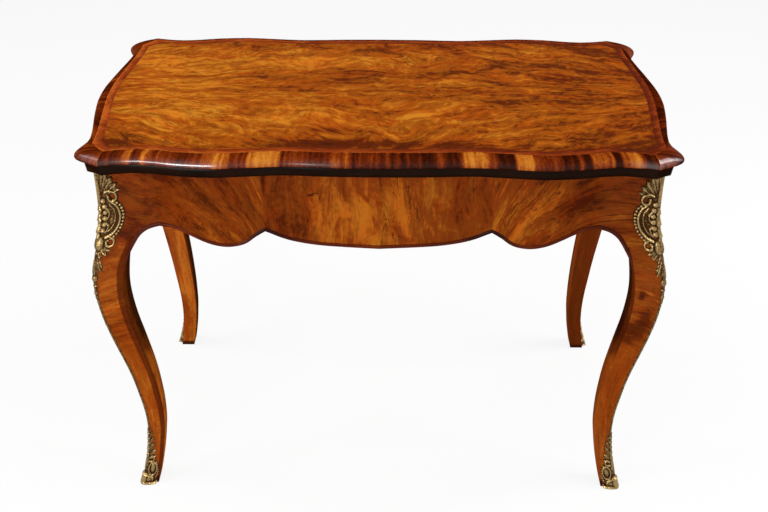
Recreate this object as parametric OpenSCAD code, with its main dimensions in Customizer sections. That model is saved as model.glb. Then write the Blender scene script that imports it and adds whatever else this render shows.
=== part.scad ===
// Fold-over card table with a serpentine top, cabriole legs and gilt mounts.
// The upper leaf folds back on its hinges, and the whole top turns on a pivot bolt to rest on the frame.
// Units are millimetres. The origin is on the floor under the middle of the frame, +Z is up, -Y is the front.

/* [Top] */
// Width over the bowed sides of the top
top_w = 922; // [900:2:950]
// Depth over the lobes of the closed top, which is also the depth of one leaf
top_d = 440; // [430:2:460]
// Height of the closed table
table_h = 730; // [700:5:760]
// Thickness of each leaf
leaf_t = 16.35; // [15:0.05:18]
// Gap between the closed leaves, and between the lower leaf and the frame
leaf_gap = 0.3; // [0.2:0.1:0.6]
// Width of the moulded edge in plan
edge_w = 20; // [16:1:24]
// Height above the underside of the leaf where the moulded edge is fullest
nose_h = 4; // [3:0.5:6]
// How far the lower leaf's edge stands back from the moulded edge
lower_set_back = 3; // [2:0.5:5]
// Thickness of the show veneer and its border
veneer_t = 0.8; // [0.6:0.1:1.2]
// Width of the border band round the show veneer
band_w = 11; // [8:1:14]
// Thickness of the baize playing surface
baize_t = 1; // [0.8:0.1:1.5]
// Width of the veneer border round the baize
baize_border_w = 24; // [18:1:30]
// Height of the straight meeting edge under the waved back rim
lip_h = 3.5; // [3:0.5:5]

/* [Frame] */
// Height of the front and back rails at the middle
rail_h = 140.7; // [132:0.1:150]
// Distance from the front of the top to the inner face of the front rail, and the same at the back
rail_set_y = 55; // [52:1:60]
// Distance from the side of the top to the inner face of the side rail
rail_set_x = 56; // [52:1:60]
// Height of the brackets' arches over the lowest point of the rails
arch_h = 38; // [34:1:42]
// How far the bead stands proud of the rails
bead_out = 2; // [1.5:0.5:3]
// Height of the bead along the lower edge of the rails
bead_h = 5; // [4:0.5:7]
// Thickness of the cloth slips on the frame's top edge
slip_t = 1; // [0.8:0.1:1.5]
// Width of the cloth slips
slip_w = 14; // [10:1:16]
// Leg of the triangular glue blocks
block_w = 25; // [18:1:28]
// Height of the glue blocks
block_h = 70; // [50:5:80]

/* [Legs] */
// Side of the square post at the top of each leg
post_w = 50; // [46:1:54]
// How much farther in from the edge of the top the legs stand across the depth than across the width
leg_set_y = 2; // [0:0.5:4]
// Distance from the frame's top edge down to the fullest point of the knee
knee_drop = 229.7; // [215:0.1:245]
// Thickness of the brackets between the rails and the legs
bracket_t = 22; // [18:1:26]

/* [Well] */
// Thickness of the well's floor
floor_t = 8; // [6:1:10]
// Depth of the well below the frame's top edge
well_d = 86; // [80:1:90]
// Thickness of the partition beside the pivot
partition_t = 12; // [8:1:14]
// Height of the battens under the floor
batten_h = 8; // [6:1:8]
// Width of the battens under the floor
batten_w = 12; // [10:1:16]
// Distance from the leg posts to the near ends of the battens
batten_short = 47; // [40:1:55]
// Thickness of the cloth that lines the well
lining_t = 1; // [0.8:0.1:1.5]

/* [Pivot] */
// Clearance between the stop peg and the back rail
peg_clear = 8.7; // [6:0.1:10]
// Thickness of the rail that carries the pivot
pivot_rail_t = 27; // [24:1:30]
// Radius of the pivot bolt
bolt_r = 6; // [5:0.5:7]
// Running clearance round the bolt and the hinge pins
run_gap = 0.05; // [0.03:0.01:0.08]
// Radius of the bolt's head
bolt_head_r = 15; // [12:1:18]
// Thickness of the bolt's head
bolt_head_t = 3; // [2:0.5:4]
// Thickness of the pivot plate
pivot_plate_t = 2; // [1.5:0.5:3]
// Radius of the washer
washer_r = 13; // [11:1:15]
// Thickness of the washer
washer_t = 2; // [1.5:0.5:3]
// Clearance between the washer and the well's partition
washer_clear = 5; // [4:0.5:8]
// Thickness of the nut
nut_t = 9; // [8:1:11]
// Radius of the stop peg
peg_r = 8; // [6:1:10]
// How far the stop peg hangs below the lower leaf
peg_drop = 13; // [10:1:16]
// How far the stop peg is let into the lower leaf
peg_depth = 8; // [6:1:10]

/* [Hinges] */
// Distance from the side of the top to the inner eye of each hinge
hinge_in = 65; // [63:1:80]
// Thickness of the hinge plates and eyes
hinge_t = 2.4; // [2:0.1:3]
// Radius of the hinge eyes
hinge_eye_r = 3.4; // [3:0.1:4]
// Radius of the hinge pins
hinge_pin_r = 1.5; // [1.2:0.1:1.8]
// Length of the flat plate of each hinge
hinge_plate_l = 38; // [32:1:44]
// Width of the flat plate of each hinge
hinge_plate_w = 14; // [12:1:16]
// Thickness of the flat plate of each hinge
hinge_plate_t = 1.6; // [1.4:0.1:2]
// Radius of the hinge screws
screw_r = 1.4; // [1.2:0.1:1.6]
// Length of the hinge screws under the plate
screw_l = 8; // [6:1:9]

/* [Mounts] */
// Thickness of the knee mounts
mount_t = 2.5; // [2:0.5:4]
// Thickness of the strips on the arrises
strip_t = 1.2; // [1:0.1:2]
// Width of each wing of the strips
strip_w = 4; // [3:0.5:5]

/* [Hidden] */

// A hair that keeps cuts clean
eps = 0.5;
// Least step in height between two rows of a mount
row_step = 0.2;
// Clearance of a let-in fitting in its recess
seat_gap = 0.05;
// Gap between a gilt mount and the wood behind it
mount_gap = 0.1;
// Gap between the stop peg and the rail that stops it
stop_gap = 0.3;

// Heights of the leaves
upper_z = table_h - leaf_t;
lower_top_z = upper_z - leaf_gap;
lower_z = lower_top_z - leaf_t;
fold_z = upper_z - leaf_gap / 2;
// Depth of the hinge line behind the middle of the table
fold_y = top_d / 2;
meet_y = fold_y - leaf_gap / 2;
// Height of the frame's top edge
slip_z = lower_z - leaf_gap;
rail_z = slip_z - slip_t;

// Half size of the top, and a length that is longer than any part
half_w = top_w / 2;
half_d = top_d / 2;
reach = top_w + top_d;
rail_in_x = half_w - rail_set_x;
rail_in_y = half_d - rail_set_y;
hinge_x = half_w - hinge_in;

// The ear from its sharp corner round its tip to the notch, as inward steps from the corner of the top
ear_edge = [
    for (p = [[50, 4.5], [21, 18], [12, 25], [8, 33.5], [9.5, 43], [14.5, 54.5], [19, 65], [21, 77]])
        [half_w - p[0], half_d - p[1]]
];
// The edge of the top from the middle of a long side to the sharp corner of the ear:
// share of the way along, and step in from the half depth
front_edge = [
    for (p = [
        [0, 4], [0.17, 5], [0.341, 8], [0.474, 4], [0.596, 0], [0.718, 3], [0.803, 9], [0.876, 12], [0.944, 9.5],
        [1, 4.5]
    ])
        [p[0] * ear_edge[0][0], half_d - p[1]]
];
// The bowed side from the notch to its middle: step in from the half width, and share of the way
notch = ear_edge[len(ear_edge) - 1];
side_edge = [
    for (p = [[21, 1], [18.5, 0.867], [14, 0.699], [9, 0.524], [4, 0.315], [1, 0.154], [0, 0]])
        [half_w - p[0], p[1] * notch[1]]
];
// Inner ends of the ear's two mitres, as inward steps from the corner of the top
ear_inner = [for (p = [[57, 23], [35, 44]]) [half_w - p[0], half_d - p[1]]];
corner_step = ear_edge[0][1] - ear_inner[0][1];

// Point on a smooth curve through four points, at t between the second and the third
function curve_at(a, b, c, d, t) =
    0.5 * (2 * b + (c - a) * t + (2 * a - 5 * b + 4 * c - d) * t * t + (3 * b - a - 3 * c + d) * t * t * t);
// Smooth curve through the points, with steps to each span
function curve(points, steps) =
    let (last = len(points) - 1)
    concat(
        [for (i = [0 : last - 1])
            let (
                a = i > 0 ? points[i - 1] : 2 * points[0] - points[1],
                d = i < last - 1 ? points[i + 2] : 2 * points[last] - points[last - 1]
            )
            for (k = [0 : steps - 1]) curve_at(a, points[i], points[i + 1], d, k / steps)],
        [points[last]]
    );
function reversed(list) = [for (i = [len(list) - 1 : -1 : 0]) list[i]];
function flip_x(list) = [for (p = list) [-p[0], p[1]]];
function flip_y(list) = [for (p = list) [p[0], -p[1]]];
function tail(list) = [for (i = [1 : len(list) - 1]) list[i]];
function body_of(list) = [for (i = [0 : len(list) - 2]) list[i]];
function mix(a, b, t) = a + (b - a) * t;
// Straight run of points from a to b with as many points as the list
function line_like(a, b, list) = [for (i = [0 : len(list) - 1]) mix(a, b, i / (len(list) - 1))];

// Outer and inner lines of the moulded edge over one corner
wave_out = curve(front_edge, 2);
wave_in = [
    for (p = wave_out)
        [p[0] * ear_inner[0][0] / ear_edge[0][0], p[1] - edge_w + (edge_w - corner_step) * p[0] / ear_edge[0][0]]
];
ear_out = concat([ear_edge[0]], curve(tail(ear_edge), 2));
ear_in = line_like(ear_inner[0], ear_inner[1], ear_out);
bow_out = curve(side_edge, 2);
bow_in = [
    for (p = bow_out)
        let (t = p[1] / notch[1])
        [p[0] - edge_w + (ear_inner[1][0] - notch[0] + edge_w) * t * t * t, p[1] * ear_inner[1][1] / notch[1]]
];

// Line moved inward by a distance along the direction from the outer to the inner line
function step_in(out, in, distance) =
    [for (i = [0 : len(out) - 1]) out[i] + (in[i] - out[i]) * distance / norm(in[i] - out[i])];
// Whole closed outline from the lines over one corner; the corner lies at +X and +Y
function all_round(wave, ear, bow, back_wave) =
    let (
        corner = concat(body_of(wave), body_of(ear), body_of(bow)),
        back_corner = concat(body_of(back_wave), body_of(ear), body_of(bow))
    )
    concat(
        back_corner,
        reversed(tail(flip_y(concat(corner, [bow[len(bow) - 1]])))),
        body_of(flip_x(flip_y(concat(corner, [bow[len(bow) - 1]])))),
        reversed(tail(flip_x(concat(back_corner, [bow[len(bow) - 1]]))))
    );

// Straight meeting edge behind the waved back rim, in line with each section of the rim
meet_line = [
    for (i = [0 : len(wave_out) - 1])
        let (p = wave_out[i], q = wave_in[i])
        [p[0] + (p[0] - q[0]) * (meet_y - p[1]) / (p[1] - q[1]), meet_y]
];
inner_outline = all_round(wave_in, ear_in, bow_in, wave_in);

// Outline of the flat top shrunk evenly toward the middle by a border width
function shrunk(list, distance) =
    [for (p = list)
        [p[0] * (1 - distance / (half_w - edge_w)), p[1] * (1 - distance / (half_d - edge_w))]];

// Solid skinned over sections that hold equal numbers of points
module loft(sections, closed = false) {
    rows = len(sections);
    cols = len(sections[0]);
    last_row = closed ? rows - 1 : rows - 2;
    points = [for (s = sections) for (p = s) p];
    sides = [
        for (r = [0 : last_row]) for (c = [0 : cols - 1])
            let (
                a = r * cols + c,
                b = r * cols + (c + 1) % cols,
                d = ((r + 1) % rows) * cols + c,
                e = ((r + 1) % rows) * cols + (c + 1) % cols
            )
            each [[a, b, e], [a, e, d]]
    ];
    caps = closed ? [] : [
        [for (c = [cols - 1 : -1 : 0]) c],
        [for (c = [0 : cols - 1]) (rows - 1) * cols + c]
    ];
    polyhedron(points = points, faces = concat(sides, caps), convexity = 8);
}

// Shape that is drawn for the corner at +X and +Y, set at any corner
module at_corner(side, end) {
    mirror([side < 0 ? 1 : 0, 0, 0])
        mirror([0, end < 0 ? 1 : 0, 0])
            children();
}

// Moulded section of the upper leaf: fraction of the way out, and height as a fraction above the nose
nose_z = upper_z + nose_h;
rise = table_h - nose_z;
round_steps = 6;
quarter = [for (i = [0 : round_steps]) [sin(90 * i / round_steps), cos(90 * i / round_steps)]];
foot_in = 0.06;
function edge_section(out, in) = concat(
    [[in[0], in[1], upper_z], [in[0], in[1], table_h]],
    [for (q = tail(quarter))
        let (p = mix(in, out, q[0])) [p[0], p[1], nose_z + rise * q[1]]],
    [let (p = mix(in, out, 1 - foot_in)) [p[0], p[1], upper_z]]
);
// Section of the back edge, whose waved rim stands over a straight meeting lip
function back_section(out, in, meet) =
    let (rim = mix(in, out, 1 - leaf_gap / (out[1] - in[1])))
    concat(
        [[in[0], in[1], upper_z], [in[0], in[1], table_h]],
        [for (q = tail(quarter))
            let (p = mix(in, rim, q[0])) [p[0], p[1], nose_z + rise * q[1]]],
        [[rim[0], rim[1], upper_z + lip_h],
         [meet[0], meet[1], upper_z + lip_h],
         [meet[0], meet[1], upper_z]]
    );

// Part outline of one length of the lower leaf's edge
module lower_edge_part(outer, inner) {
    color("#1b1511")
        translate([0, 0, lower_z])
            linear_extrude(leaf_t)
                polygon(concat(outer, reversed(inner)));
}
lower_wave = step_in(wave_out, wave_in, lower_set_back);
lower_ear = step_in(ear_out, ear_in, lower_set_back);
lower_bow = step_in(bow_out, bow_in, lower_set_back);

// The leg below its fullest point: share of that height, step in of the outer face from the side of the
// top, and width of the section as a share of the post's
knee_z = rail_z - knee_drop;
lower_leg = [
    [0, 8.5, 0.54], [0.032, 12.5, 0.54], [0.09, 18.5, 0.54], [0.15, 23, 0.56], [0.212, 27.5, 0.56],
    [0.275, 30.5, 0.58], [0.339, 31.5, 0.6], [0.403, 30.7, 0.634], [0.472, 28.5, 0.672], [0.539, 26.2, 0.7],
    [0.605, 23, 0.73], [0.674, 18.8, 0.76], [0.762, 13, 0.8], [0.848, 8, 0.824], [0.927, 4.7, 0.852]
];
// The leg above it: drop under the frame's top edge, and the same step and share
upper_leg = [
    [knee_drop, 3.5, 0.88], [198.7, 5, 0.92], [169.7, 8.5, 0.96], [139.7, 16, 1], [99.7, 26, 1], [72.7, 30.5, 1],
    [43.7, 32.5, 1], [15.7, 33.8, 1], [0, 34, 1]
];
leg_sides = concat(
    [for (r = lower_leg) [r[0] * knee_z, half_w - r[1], r[2] * post_w]],
    [for (r = upper_leg) [rail_z - r[0], half_w - r[1], r[2] * post_w]]
);
function leg_out(z) = lookup(z, [for (r = leg_sides) [r[0], r[1]]]);
function leg_wide(z) = lookup(z, [for (r = leg_sides) [r[0], r[2]]]);
function leg_inner(z) = leg_out(z) - leg_wide(z);
// How far the leg's faces lie in across the depth
skew = half_w - half_d + leg_set_y;
post_in_x = leg_inner(rail_z);
post_in_y = post_in_x - skew;

// Outer faces of the rails in plan
front_face = curve([
    for (p = [[0, 23], [0.371, 26], [0.517, 23.5], [0.65, 20.5], [0.782, 23], [0.902, 28.5], [1, 30]])
        [p[0] * post_in_x, half_d - p[1]]
], 2);
side_face = curve([
    for (p = [[20, 0], [21.5, 0.336], [26, 0.672], [30, 1]])
        [half_w - p[0], p[1] * post_in_y]
], 3);

// Lower edges of the rails in elevation: share of the way to the post, and height over the lowest point
rail_low = rail_z - rail_h;
arch_z = rail_low + arch_h;
middle_lobe = curve([
    for (p = [[0, 0], [0.159, 2.5], [0.252, 5], [0.332, 10], [0.398, 17.5], [0.469, 31]])
        [p[0] * post_in_x, rail_low + p[1]]
], 2);
outer_lobe = curve([
    for (p = [
        [0.469, 31], [0.509, 21.5], [0.544, 11], [0.578, 5.5], [0.629, 3.3], [0.679, 6], [0.721, 11.5],
        [0.761, 19], [0.809, 28.5], [0.854, 35], [0.907, arch_h]
    ])
        [p[0] * post_in_x, rail_low + p[1]]
], 2);
front_low = concat(middle_lobe, tail(outer_lobe), [[post_in_x, arch_z]]);
side_low = concat(
    curve([
        for (p = [[0, 10], [0.261, 13], [0.463, 22], [0.612, 33], [0.739, arch_h]])
            [p[0] * post_in_y, rail_low + p[1]]
    ], 2),
    [[post_in_y, arch_z]]
);
// Arch under each rail where the bracket runs into the leg: gap to the leg, drop below the arch
arch_drop = [[43.7, 0], [30.7, 4], [22, 9], [14.2, 18], [7.5, 35], [3, 53], [0.3, 73]];

function both_ways(list) = concat(reversed(tail(flip_x(list))), list);

module front_rail_shape(face, low, inner) {
    intersection() {
        linear_extrude(rail_z)
            polygon(concat(both_ways(face), [[face[len(face) - 1][0], inner], [-face[len(face) - 1][0], inner]]));
        translate([0, reach, 0])
            rotate([90, 0, 0])
                linear_extrude(2 * reach)
                    polygon(concat(both_ways(low), [[low[len(low) - 1][0], rail_z], [-low[len(low) - 1][0], rail_z]]));
    }
}
// Bead on the lower edge of a rail, outside its face
module bead_shape(face, low) {
    outer = [for (p = face) p + [0, bead_out]];
    high = [for (p = low) p + [0, bead_h]];
    intersection() {
        linear_extrude(rail_z)
            polygon(concat(both_ways(outer), reversed(both_ways(face))));
        translate([0, reach, 0])
            rotate([90, 0, 0])
                linear_extrude(2 * reach)
                    polygon(concat(both_ways(low), reversed(both_ways(high))));
    }
}
function swap(list) = [for (p = list) [p[1], p[0]]];

module front_rail() {
    color("#8a4a1c") mirror([0, 1, 0]) front_rail_shape(front_face, front_low, rail_in_y);
}
module back_rail() {
    color("#8a4a1c") front_rail_shape(front_face, front_low, rail_in_y);
}
module right_rail() {
    color("#7f421a") rotate([0, 0, -90]) front_rail_shape(swap(side_face), side_low, rail_in_x);
}
module left_rail() {
    color("#7f421a") rotate([0, 0, 90]) front_rail_shape(swap(side_face), side_low, rail_in_x);
}
module front_bead() {
    color("#5d2411") mirror([0, 1, 0]) bead_shape(front_face, front_low);
}
module back_bead() {
    color("#5d2411") bead_shape(front_face, front_low);
}
module right_bead() {
    color("#5d2411") rotate([0, 0, -90]) bead_shape(swap(side_face), side_low);
}
module left_bead() {
    color("#5d2411") rotate([0, 0, 90]) bead_shape(swap(side_face), side_low);
}

// Cabriole leg, sawn to the same curve from two faces of the square
module leg() {
    outer = [for (r = leg_sides) [r[1], r[0]]];
    inner = [for (r = leg_sides) [r[1] - r[2], r[0]]];
    profile = concat(outer, reversed(inner));
    intersection() {
        translate([0, reach, 0])
            rotate([90, 0, 0])
                linear_extrude(reach)
                    polygon(profile);
        rotate([90, 0, 90])
            linear_extrude(reach)
                polygon([for (p = profile) p - [skew, 0]]);
    }
}
module front_left_leg() { color("#8e4f20") at_corner(-1, -1) leg(); }
module front_right_leg() { color("#8e4f20") at_corner(1, -1) leg(); }
module back_left_leg() { color("#8e4f20") at_corner(-1, 1) leg(); }
module back_right_leg() { color("#8e4f20") at_corner(1, 1) leg(); }

// Bracket between a rail and a leg, drawn along X with its face at the leg's front
module bracket(shift) {
    arch = curve([for (p = arch_drop) [leg_inner(arch_z - p[1]) - p[0] - shift, arch_z - p[1]]], 2);
    foot_z = arch[len(arch) - 1][1];
    heights = concat([foot_z], [for (r = leg_sides) if (r[0] > foot_z && r[0] < arch_z) r[0]], [arch_z]);
    against = [for (z = heights) [leg_inner(z) - shift, z]];
    face = [for (z = heights) [leg_out(z) - skew + shift, z]];
    intersection() {
        translate([0, reach, 0])
            rotate([90, 0, 0])
                linear_extrude(reach)
                    polygon(concat(body_of(arch), against));
        rotate([90, 0, 90])
            linear_extrude(reach)
                polygon(concat(face, reversed([for (p = face) p - [bracket_t, 0]])));
    }
}
module leg_brackets() {
    color("#86481c")
        for (side = [-1, 1]) for (end = [-1, 1])
            at_corner(side, end) {
                bracket(0);
                mirror([1, -1, 0]) bracket(skew);
            }
}

module corner_blocks() {
    color("#b98a52")
        for (side = [-1, 1]) for (end = [-1, 1])
            at_corner(side, end)
                translate([0, 0, rail_z - block_h - 5])
                    linear_extrude(block_h) {
                        polygon([
                            [post_in_x, rail_in_y], [post_in_x - block_w, rail_in_y],
                            [post_in_x, rail_in_y - block_w]
                        ]);
                        polygon([
                            [rail_in_x, post_in_y], [rail_in_x - block_w, post_in_y],
                            [rail_in_x, post_in_y - block_w]
                        ]);
                    }
}

// Place of the pivot: a quarter of the leaf's depth from the middle both ways
pivot = [fold_y / 2, fold_y / 2];
// The pivot rail is as wide as leaves the stop peg its room beside the back rail
peg_step = rail_in_y - pivot[1] - peg_r - peg_clear;
pivot_rail_w = 2 * (peg_step - peg_r - stop_gap);
pivot_rail_z = rail_z - pivot_rail_t;
pivot_left = pivot[0] - pivot_rail_w / 2;

module pivot_rail() {
    color("#a97c48")
        difference() {
            translate([pivot_left, -rail_in_y, pivot_rail_z])
                cube([pivot_rail_w, 2 * rail_in_y, pivot_rail_t]);
            translate([pivot[0], pivot[1], pivot_rail_z - eps])
                cylinder(r = bolt_r + run_gap, h = pivot_rail_t + 2 * eps, $fn = 64);
        }
}
floor_top = rail_z - well_d;
floor_z = floor_top - floor_t;
floor_end = pivot[0] - washer_r - washer_clear;
partition_left = floor_end - partition_t;
module well_floor() {
    color("#a97c48")
        translate([0, 0, floor_z])
            linear_extrude(floor_t)
                polygon([
                    [floor_end, -rail_in_y], [floor_end, rail_in_y], [-post_in_x, rail_in_y],
                    [-post_in_x, post_in_y], [-rail_in_x, post_in_y], [-rail_in_x, -post_in_y],
                    [-post_in_x, -post_in_y], [-post_in_x, -rail_in_y]
                ]);
}
module well_partition() {
    color("#a97c48")
        translate([partition_left, -rail_in_y, floor_top])
            cube([partition_t, 2 * rail_in_y, pivot_rail_z - floor_top]);
}
module well_lining() {
    color("#3c5a3a")
        translate([-post_in_x + block_w + 1, -rail_in_y + block_w + 1, floor_top])
            cube([partition_left + post_in_x - block_w - 2, 2 * (rail_in_y - block_w - 1), lining_t]);
}
module well_battens() {
    color("#b98a52")
        for (end = [-1, 1])
            at_corner(-1, end)
                translate([-floor_end, rail_in_y - batten_w, floor_z - batten_h])
                    cube([floor_end + post_in_x - batten_short, batten_w, batten_h]);
}
module frame_slips() {
    color("#3c5a3a")
        translate([0, 0, rail_z]) {
            for (end = [-1, 1])
                at_corner(1, end)
                    translate([-post_in_x + 5, rail_in_y + 5, 0])
                        cube([2 * post_in_x - 10, slip_w, slip_t]);
            for (side = [-1, 1])
                at_corner(side, 1)
                    translate([rail_in_x + 5, -post_in_y + 4, 0])
                        cube([slip_w, 2 * post_in_y - 8, slip_t]);
            difference() {
                translate([pivot_left + 4, -rail_in_y + 4, 0])
                    cube([pivot_rail_w - 8, 2 * rail_in_y - 8, slip_t]);
                translate([pivot[0], pivot[1], -eps])
                    cylinder(r = bolt_r + 8, h = slip_t + 2 * eps, $fn = 64);
            }
        }
}

// Rows of height, wing width and thickness, with the leg's own heights let in so that a mount follows it
function on_leg(rows) =
    [
        for (i = [0 : len(rows) - 2])
            each concat(
                [rows[i]],
                [for (r = leg_sides)
                    if (r[0] > rows[i][0] + row_step && r[0] < rows[i + 1][0] - row_step)
                        mix(rows[i], rows[i + 1], (r[0] - rows[i][0]) / (rows[i + 1][0] - rows[i][0]))]
            ),
        rows[len(rows) - 1]
    ];

// Gilt piece that wraps the outer arris of a leg
module arris_piece(rows) {
    loft([
        for (r = on_leg(rows))
            let (
                z = r[0],
                x = leg_out(z) + mount_gap,
                y = leg_out(z) - skew + mount_gap,
                wing = r[1],
                t = r[2]
            )
            [
                [x - wing, y, z], [x, y, z], [x, y - wing, z],
                [x + t, y - wing, z], [x + t, y + t, z], [x - wing, y + t, z]
            ]
    ]);
}
// Outline of the knee mount: height under the frame's top edge, and wing width
knee_shape = [
    [-231, 5], [-216, 8], [-199, 10], [-176, 9.5], [-153, 11], [-139, 16], [-123, 24], [-111, 28], [-97, 36],
    [-82, 37], [-63, 32], [-50, 24], [-37, 28], [-21, 24], [-6, 13]
];
knee_low = rail_z + knee_shape[0][0];
module knee_mount() {
    arris_piece([for (s = knee_shape) [rail_z + s[0], s[1], mount_t]]);
}
module front_left_knee_mount() { color("#b08d45") at_corner(-1, -1) knee_mount(); }
module front_right_knee_mount() { color("#b08d45") at_corner(1, -1) knee_mount(); }
module back_left_knee_mount() { color("#b08d45") at_corner(-1, 1) knee_mount(); }
module back_right_knee_mount() { color("#b08d45") at_corner(1, 1) knee_mount(); }

// Outline of the sabot: height, wing width and thickness, with its toe turned out
sabot_shape = [
    [0, 22, 7.5], [5, 22, 9.5], [14, 21, 11.5], [29, 19, 8], [46, 16.5, 5.5], [62, 14, 4], [81, 12, 3.2],
    [99, 10.5, 3], [114, 8.5, 2.2], [128, 5, 1.5]
];
module sabot() {
    arris_piece(sabot_shape);
}
module front_left_sabot() { color("#a8843c") at_corner(-1, -1) sabot(); }
module front_right_sabot() { color("#a8843c") at_corner(1, -1) sabot(); }
module back_left_sabot() { color("#a8843c") at_corner(-1, 1) sabot(); }
module back_right_sabot() { color("#a8843c") at_corner(1, 1) sabot(); }

strip_low = sabot_shape[len(sabot_shape) - 1][0];
module edge_strips() {
    color("#b08d45")
        for (side = [-1, 1]) for (end = [-1, 1])
            at_corner(side, end)
                arris_piece([[strip_low, strip_w, strip_t], [knee_low, strip_w, strip_t]]);
}

// Recesses of the hinges in a leaf, drawn from the hinge line up; a flip makes the lower leaf's
hinge_flat_y = hinge_eye_r + 2.6;
upper_eye_x = hinge_x + hinge_t + leaf_gap;
module hinge_plate(x, grow) {
    translate([x - hinge_plate_w + hinge_t - grow, -hinge_flat_y - hinge_plate_l - grow, leaf_gap / 2 - (grow > 0 ? eps : 0)])
        cube([hinge_plate_w + 2 * grow, hinge_plate_l + 2 * grow, hinge_plate_t + grow + (grow > 0 ? eps : 0)]);
    translate([x - grow, -hinge_flat_y - 6, leaf_gap / 2 - (grow > 0 ? eps : 0)])
        cube([hinge_t + 2 * grow, hinge_flat_y + 6 - leaf_gap / 2 + grow, hinge_eye_r + 1.5 + (grow > 0 ? eps : 0)]);
}
// Space for the turning eyes and the pin
module eye_space() {
    translate([hinge_x - 0.9, 0, 0])
        rotate([0, 90, 0])
            cylinder(r = hinge_eye_r + 0.4, h = 2 * hinge_t + leaf_gap + 1.8, $fn = 48);
}
module hinge_recess(x) {
    for (side = [0, 1])
        mirror([side, 0, 0]) {
            hinge_plate(x, seat_gap);
            eye_space();
        }
}
module eye(x) {
    translate([x, 0, 0])
        rotate([0, 90, 0])
            cylinder(r = hinge_eye_r, h = hinge_t, $fn = 48);
}
module pin_hole(x) {
    translate([x - eps, 0, 0])
        rotate([0, 90, 0])
            cylinder(r = hinge_pin_r + run_gap, h = hinge_t + 2 * eps, $fn = 48);
}
screw_steps = [-hinge_flat_y - hinge_plate_l + 6, -hinge_flat_y - hinge_plate_l / 2, -hinge_flat_y - 10];
function screw_x(x) = x - hinge_plate_w / 2 + hinge_t / 2 - 1;
module screw_holes(x, r, low, high) {
    for (y = screw_steps)
        translate([screw_x(x), y, low])
            cylinder(r = r, h = high - low, $fn = 24);
}
module hinge_half(x) {
    for (side = [0, 1])
        mirror([side, 0, 0])
            difference() {
                union() {
                    hinge_plate(x, 0);
                    eye(x);
                }
                pin_hole(x);
                screw_holes(x, screw_r + seat_gap, 0, 6);
            }
}
module hinge_screws(x) {
    for (side = [0, 1])
        mirror([side, 0, 0])
            screw_holes(x, screw_r, leaf_gap / 2 + 0.2, leaf_gap / 2 + screw_l);
}
module on_hinge_line(up) {
    translate([0, fold_y, fold_z])
        mirror([0, 0, up ? 0 : 1])
            children();
}
// Everything that a leaf is cut away for along the hinge line
module hinge_cuts(x, up) {
    on_hinge_line(up) {
        hinge_recess(x);
        for (side = [0, 1])
            mirror([side, 0, 0])
                screw_holes(x, screw_r + seat_gap, 0, screw_l + 1);
    }
}

// Lower leaf and what turns with it
module lower_leaf() {
    color("#9a6a3a")
        difference() {
            translate([0, 0, lower_z])
                linear_extrude(leaf_t - baize_t)
                    polygon(inner_outline);
            translate([pivot[0], pivot[1], lower_z - eps])
                cylinder(r = bolt_r + seat_gap, h = leaf_t + eps, $fn = 64);
            translate([pivot[0], pivot[1], lower_top_z - baize_t - bolt_head_t - seat_gap])
                cylinder(r = bolt_head_r + seat_gap, h = leaf_t, $fn = 64);
            translate([
                pivot[0] - pivot_rail_w / 2 - seat_gap, pivot[1] - pivot_rail_w / 2 - seat_gap,
                lower_z - eps
            ])
                cube([
                    pivot_rail_w + 2 * seat_gap, pivot_rail_w + 2 * seat_gap,
                    pivot_plate_t + seat_gap + eps
                ]);
            translate([peg_at[0], peg_at[1], lower_z - eps])
                cylinder(r = peg_r + seat_gap, h = peg_depth + eps, $fn = 64);
            hinge_cuts(hinge_x, false);
        }
}
module lower_front_edge() {
    lower_edge_part(both_ways(flip_y(lower_wave)), both_ways(flip_y(wave_in)));
}
module lower_back_edge() {
    color("#1b1511")
        difference() {
            lower_edge_part(both_ways(meet_line), both_ways(wave_in));
            hinge_cuts(hinge_x, false);
        }
}
// Side length of the lower edge with its two ears
lower_side = concat(body_of(lower_ear), lower_bow, reversed(body_of(flip_y(concat(body_of(lower_ear), lower_bow)))));
inner_side = concat(body_of(ear_in), bow_in, reversed(body_of(flip_y(concat(body_of(ear_in), bow_in)))));
module lower_right_edge() {
    lower_edge_part(lower_side, inner_side);
}
module lower_left_edge() {
    lower_edge_part(flip_x(lower_side), flip_x(inner_side));
}

baize_outline = shrunk(inner_outline, baize_border_w);
module ring_sheet(outer, inner, low, thick) {
    translate([0, 0, low])
        linear_extrude(thick)
            difference() {
                polygon(outer);
                polygon(inner);
            }
}
module lower_border() {
    color("#6e3316")
        difference() {
            ring_sheet(inner_outline, baize_outline, lower_top_z - baize_t, baize_t);
            hinge_cuts(hinge_x, false);
        }
}
module lower_baize() {
    color("#2f5c3b")
        translate([0, 0, lower_top_z - baize_t])
            linear_extrude(baize_t)
                polygon(baize_outline);
}
bolt_low = pivot_rail_z - leaf_gap - washer_t - nut_t - 3;
module pivot_bolt() {
    color("#4d4a46") {
        translate([pivot[0], pivot[1], bolt_low])
            cylinder(r = bolt_r, h = lower_top_z - baize_t - bolt_low, $fn = 64);
        translate([pivot[0], pivot[1], lower_top_z - baize_t - bolt_head_t])
            cylinder(r = bolt_head_r, h = bolt_head_t, $fn = 64);
    }
}
module pivot_washer() {
    color("#5b5751")
        translate([pivot[0], pivot[1], pivot_rail_z - leaf_gap - washer_t])
            difference() {
                cylinder(r = washer_r, h = washer_t, $fn = 64);
                translate([0, 0, -eps])
                    cylinder(r = bolt_r + run_gap, h = washer_t + 2 * eps, $fn = 64);
            }
}
module pivot_nut() {
    color("#5b5751")
        translate([pivot[0], pivot[1], pivot_rail_z - leaf_gap - washer_t - nut_t])
            difference() {
                cylinder(r = washer_r - 1, h = nut_t, $fn = 6);
                translate([0, 0, -eps])
                    cylinder(r = bolt_r + run_gap, h = nut_t + 2 * eps, $fn = 64);
            }
}
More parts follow.
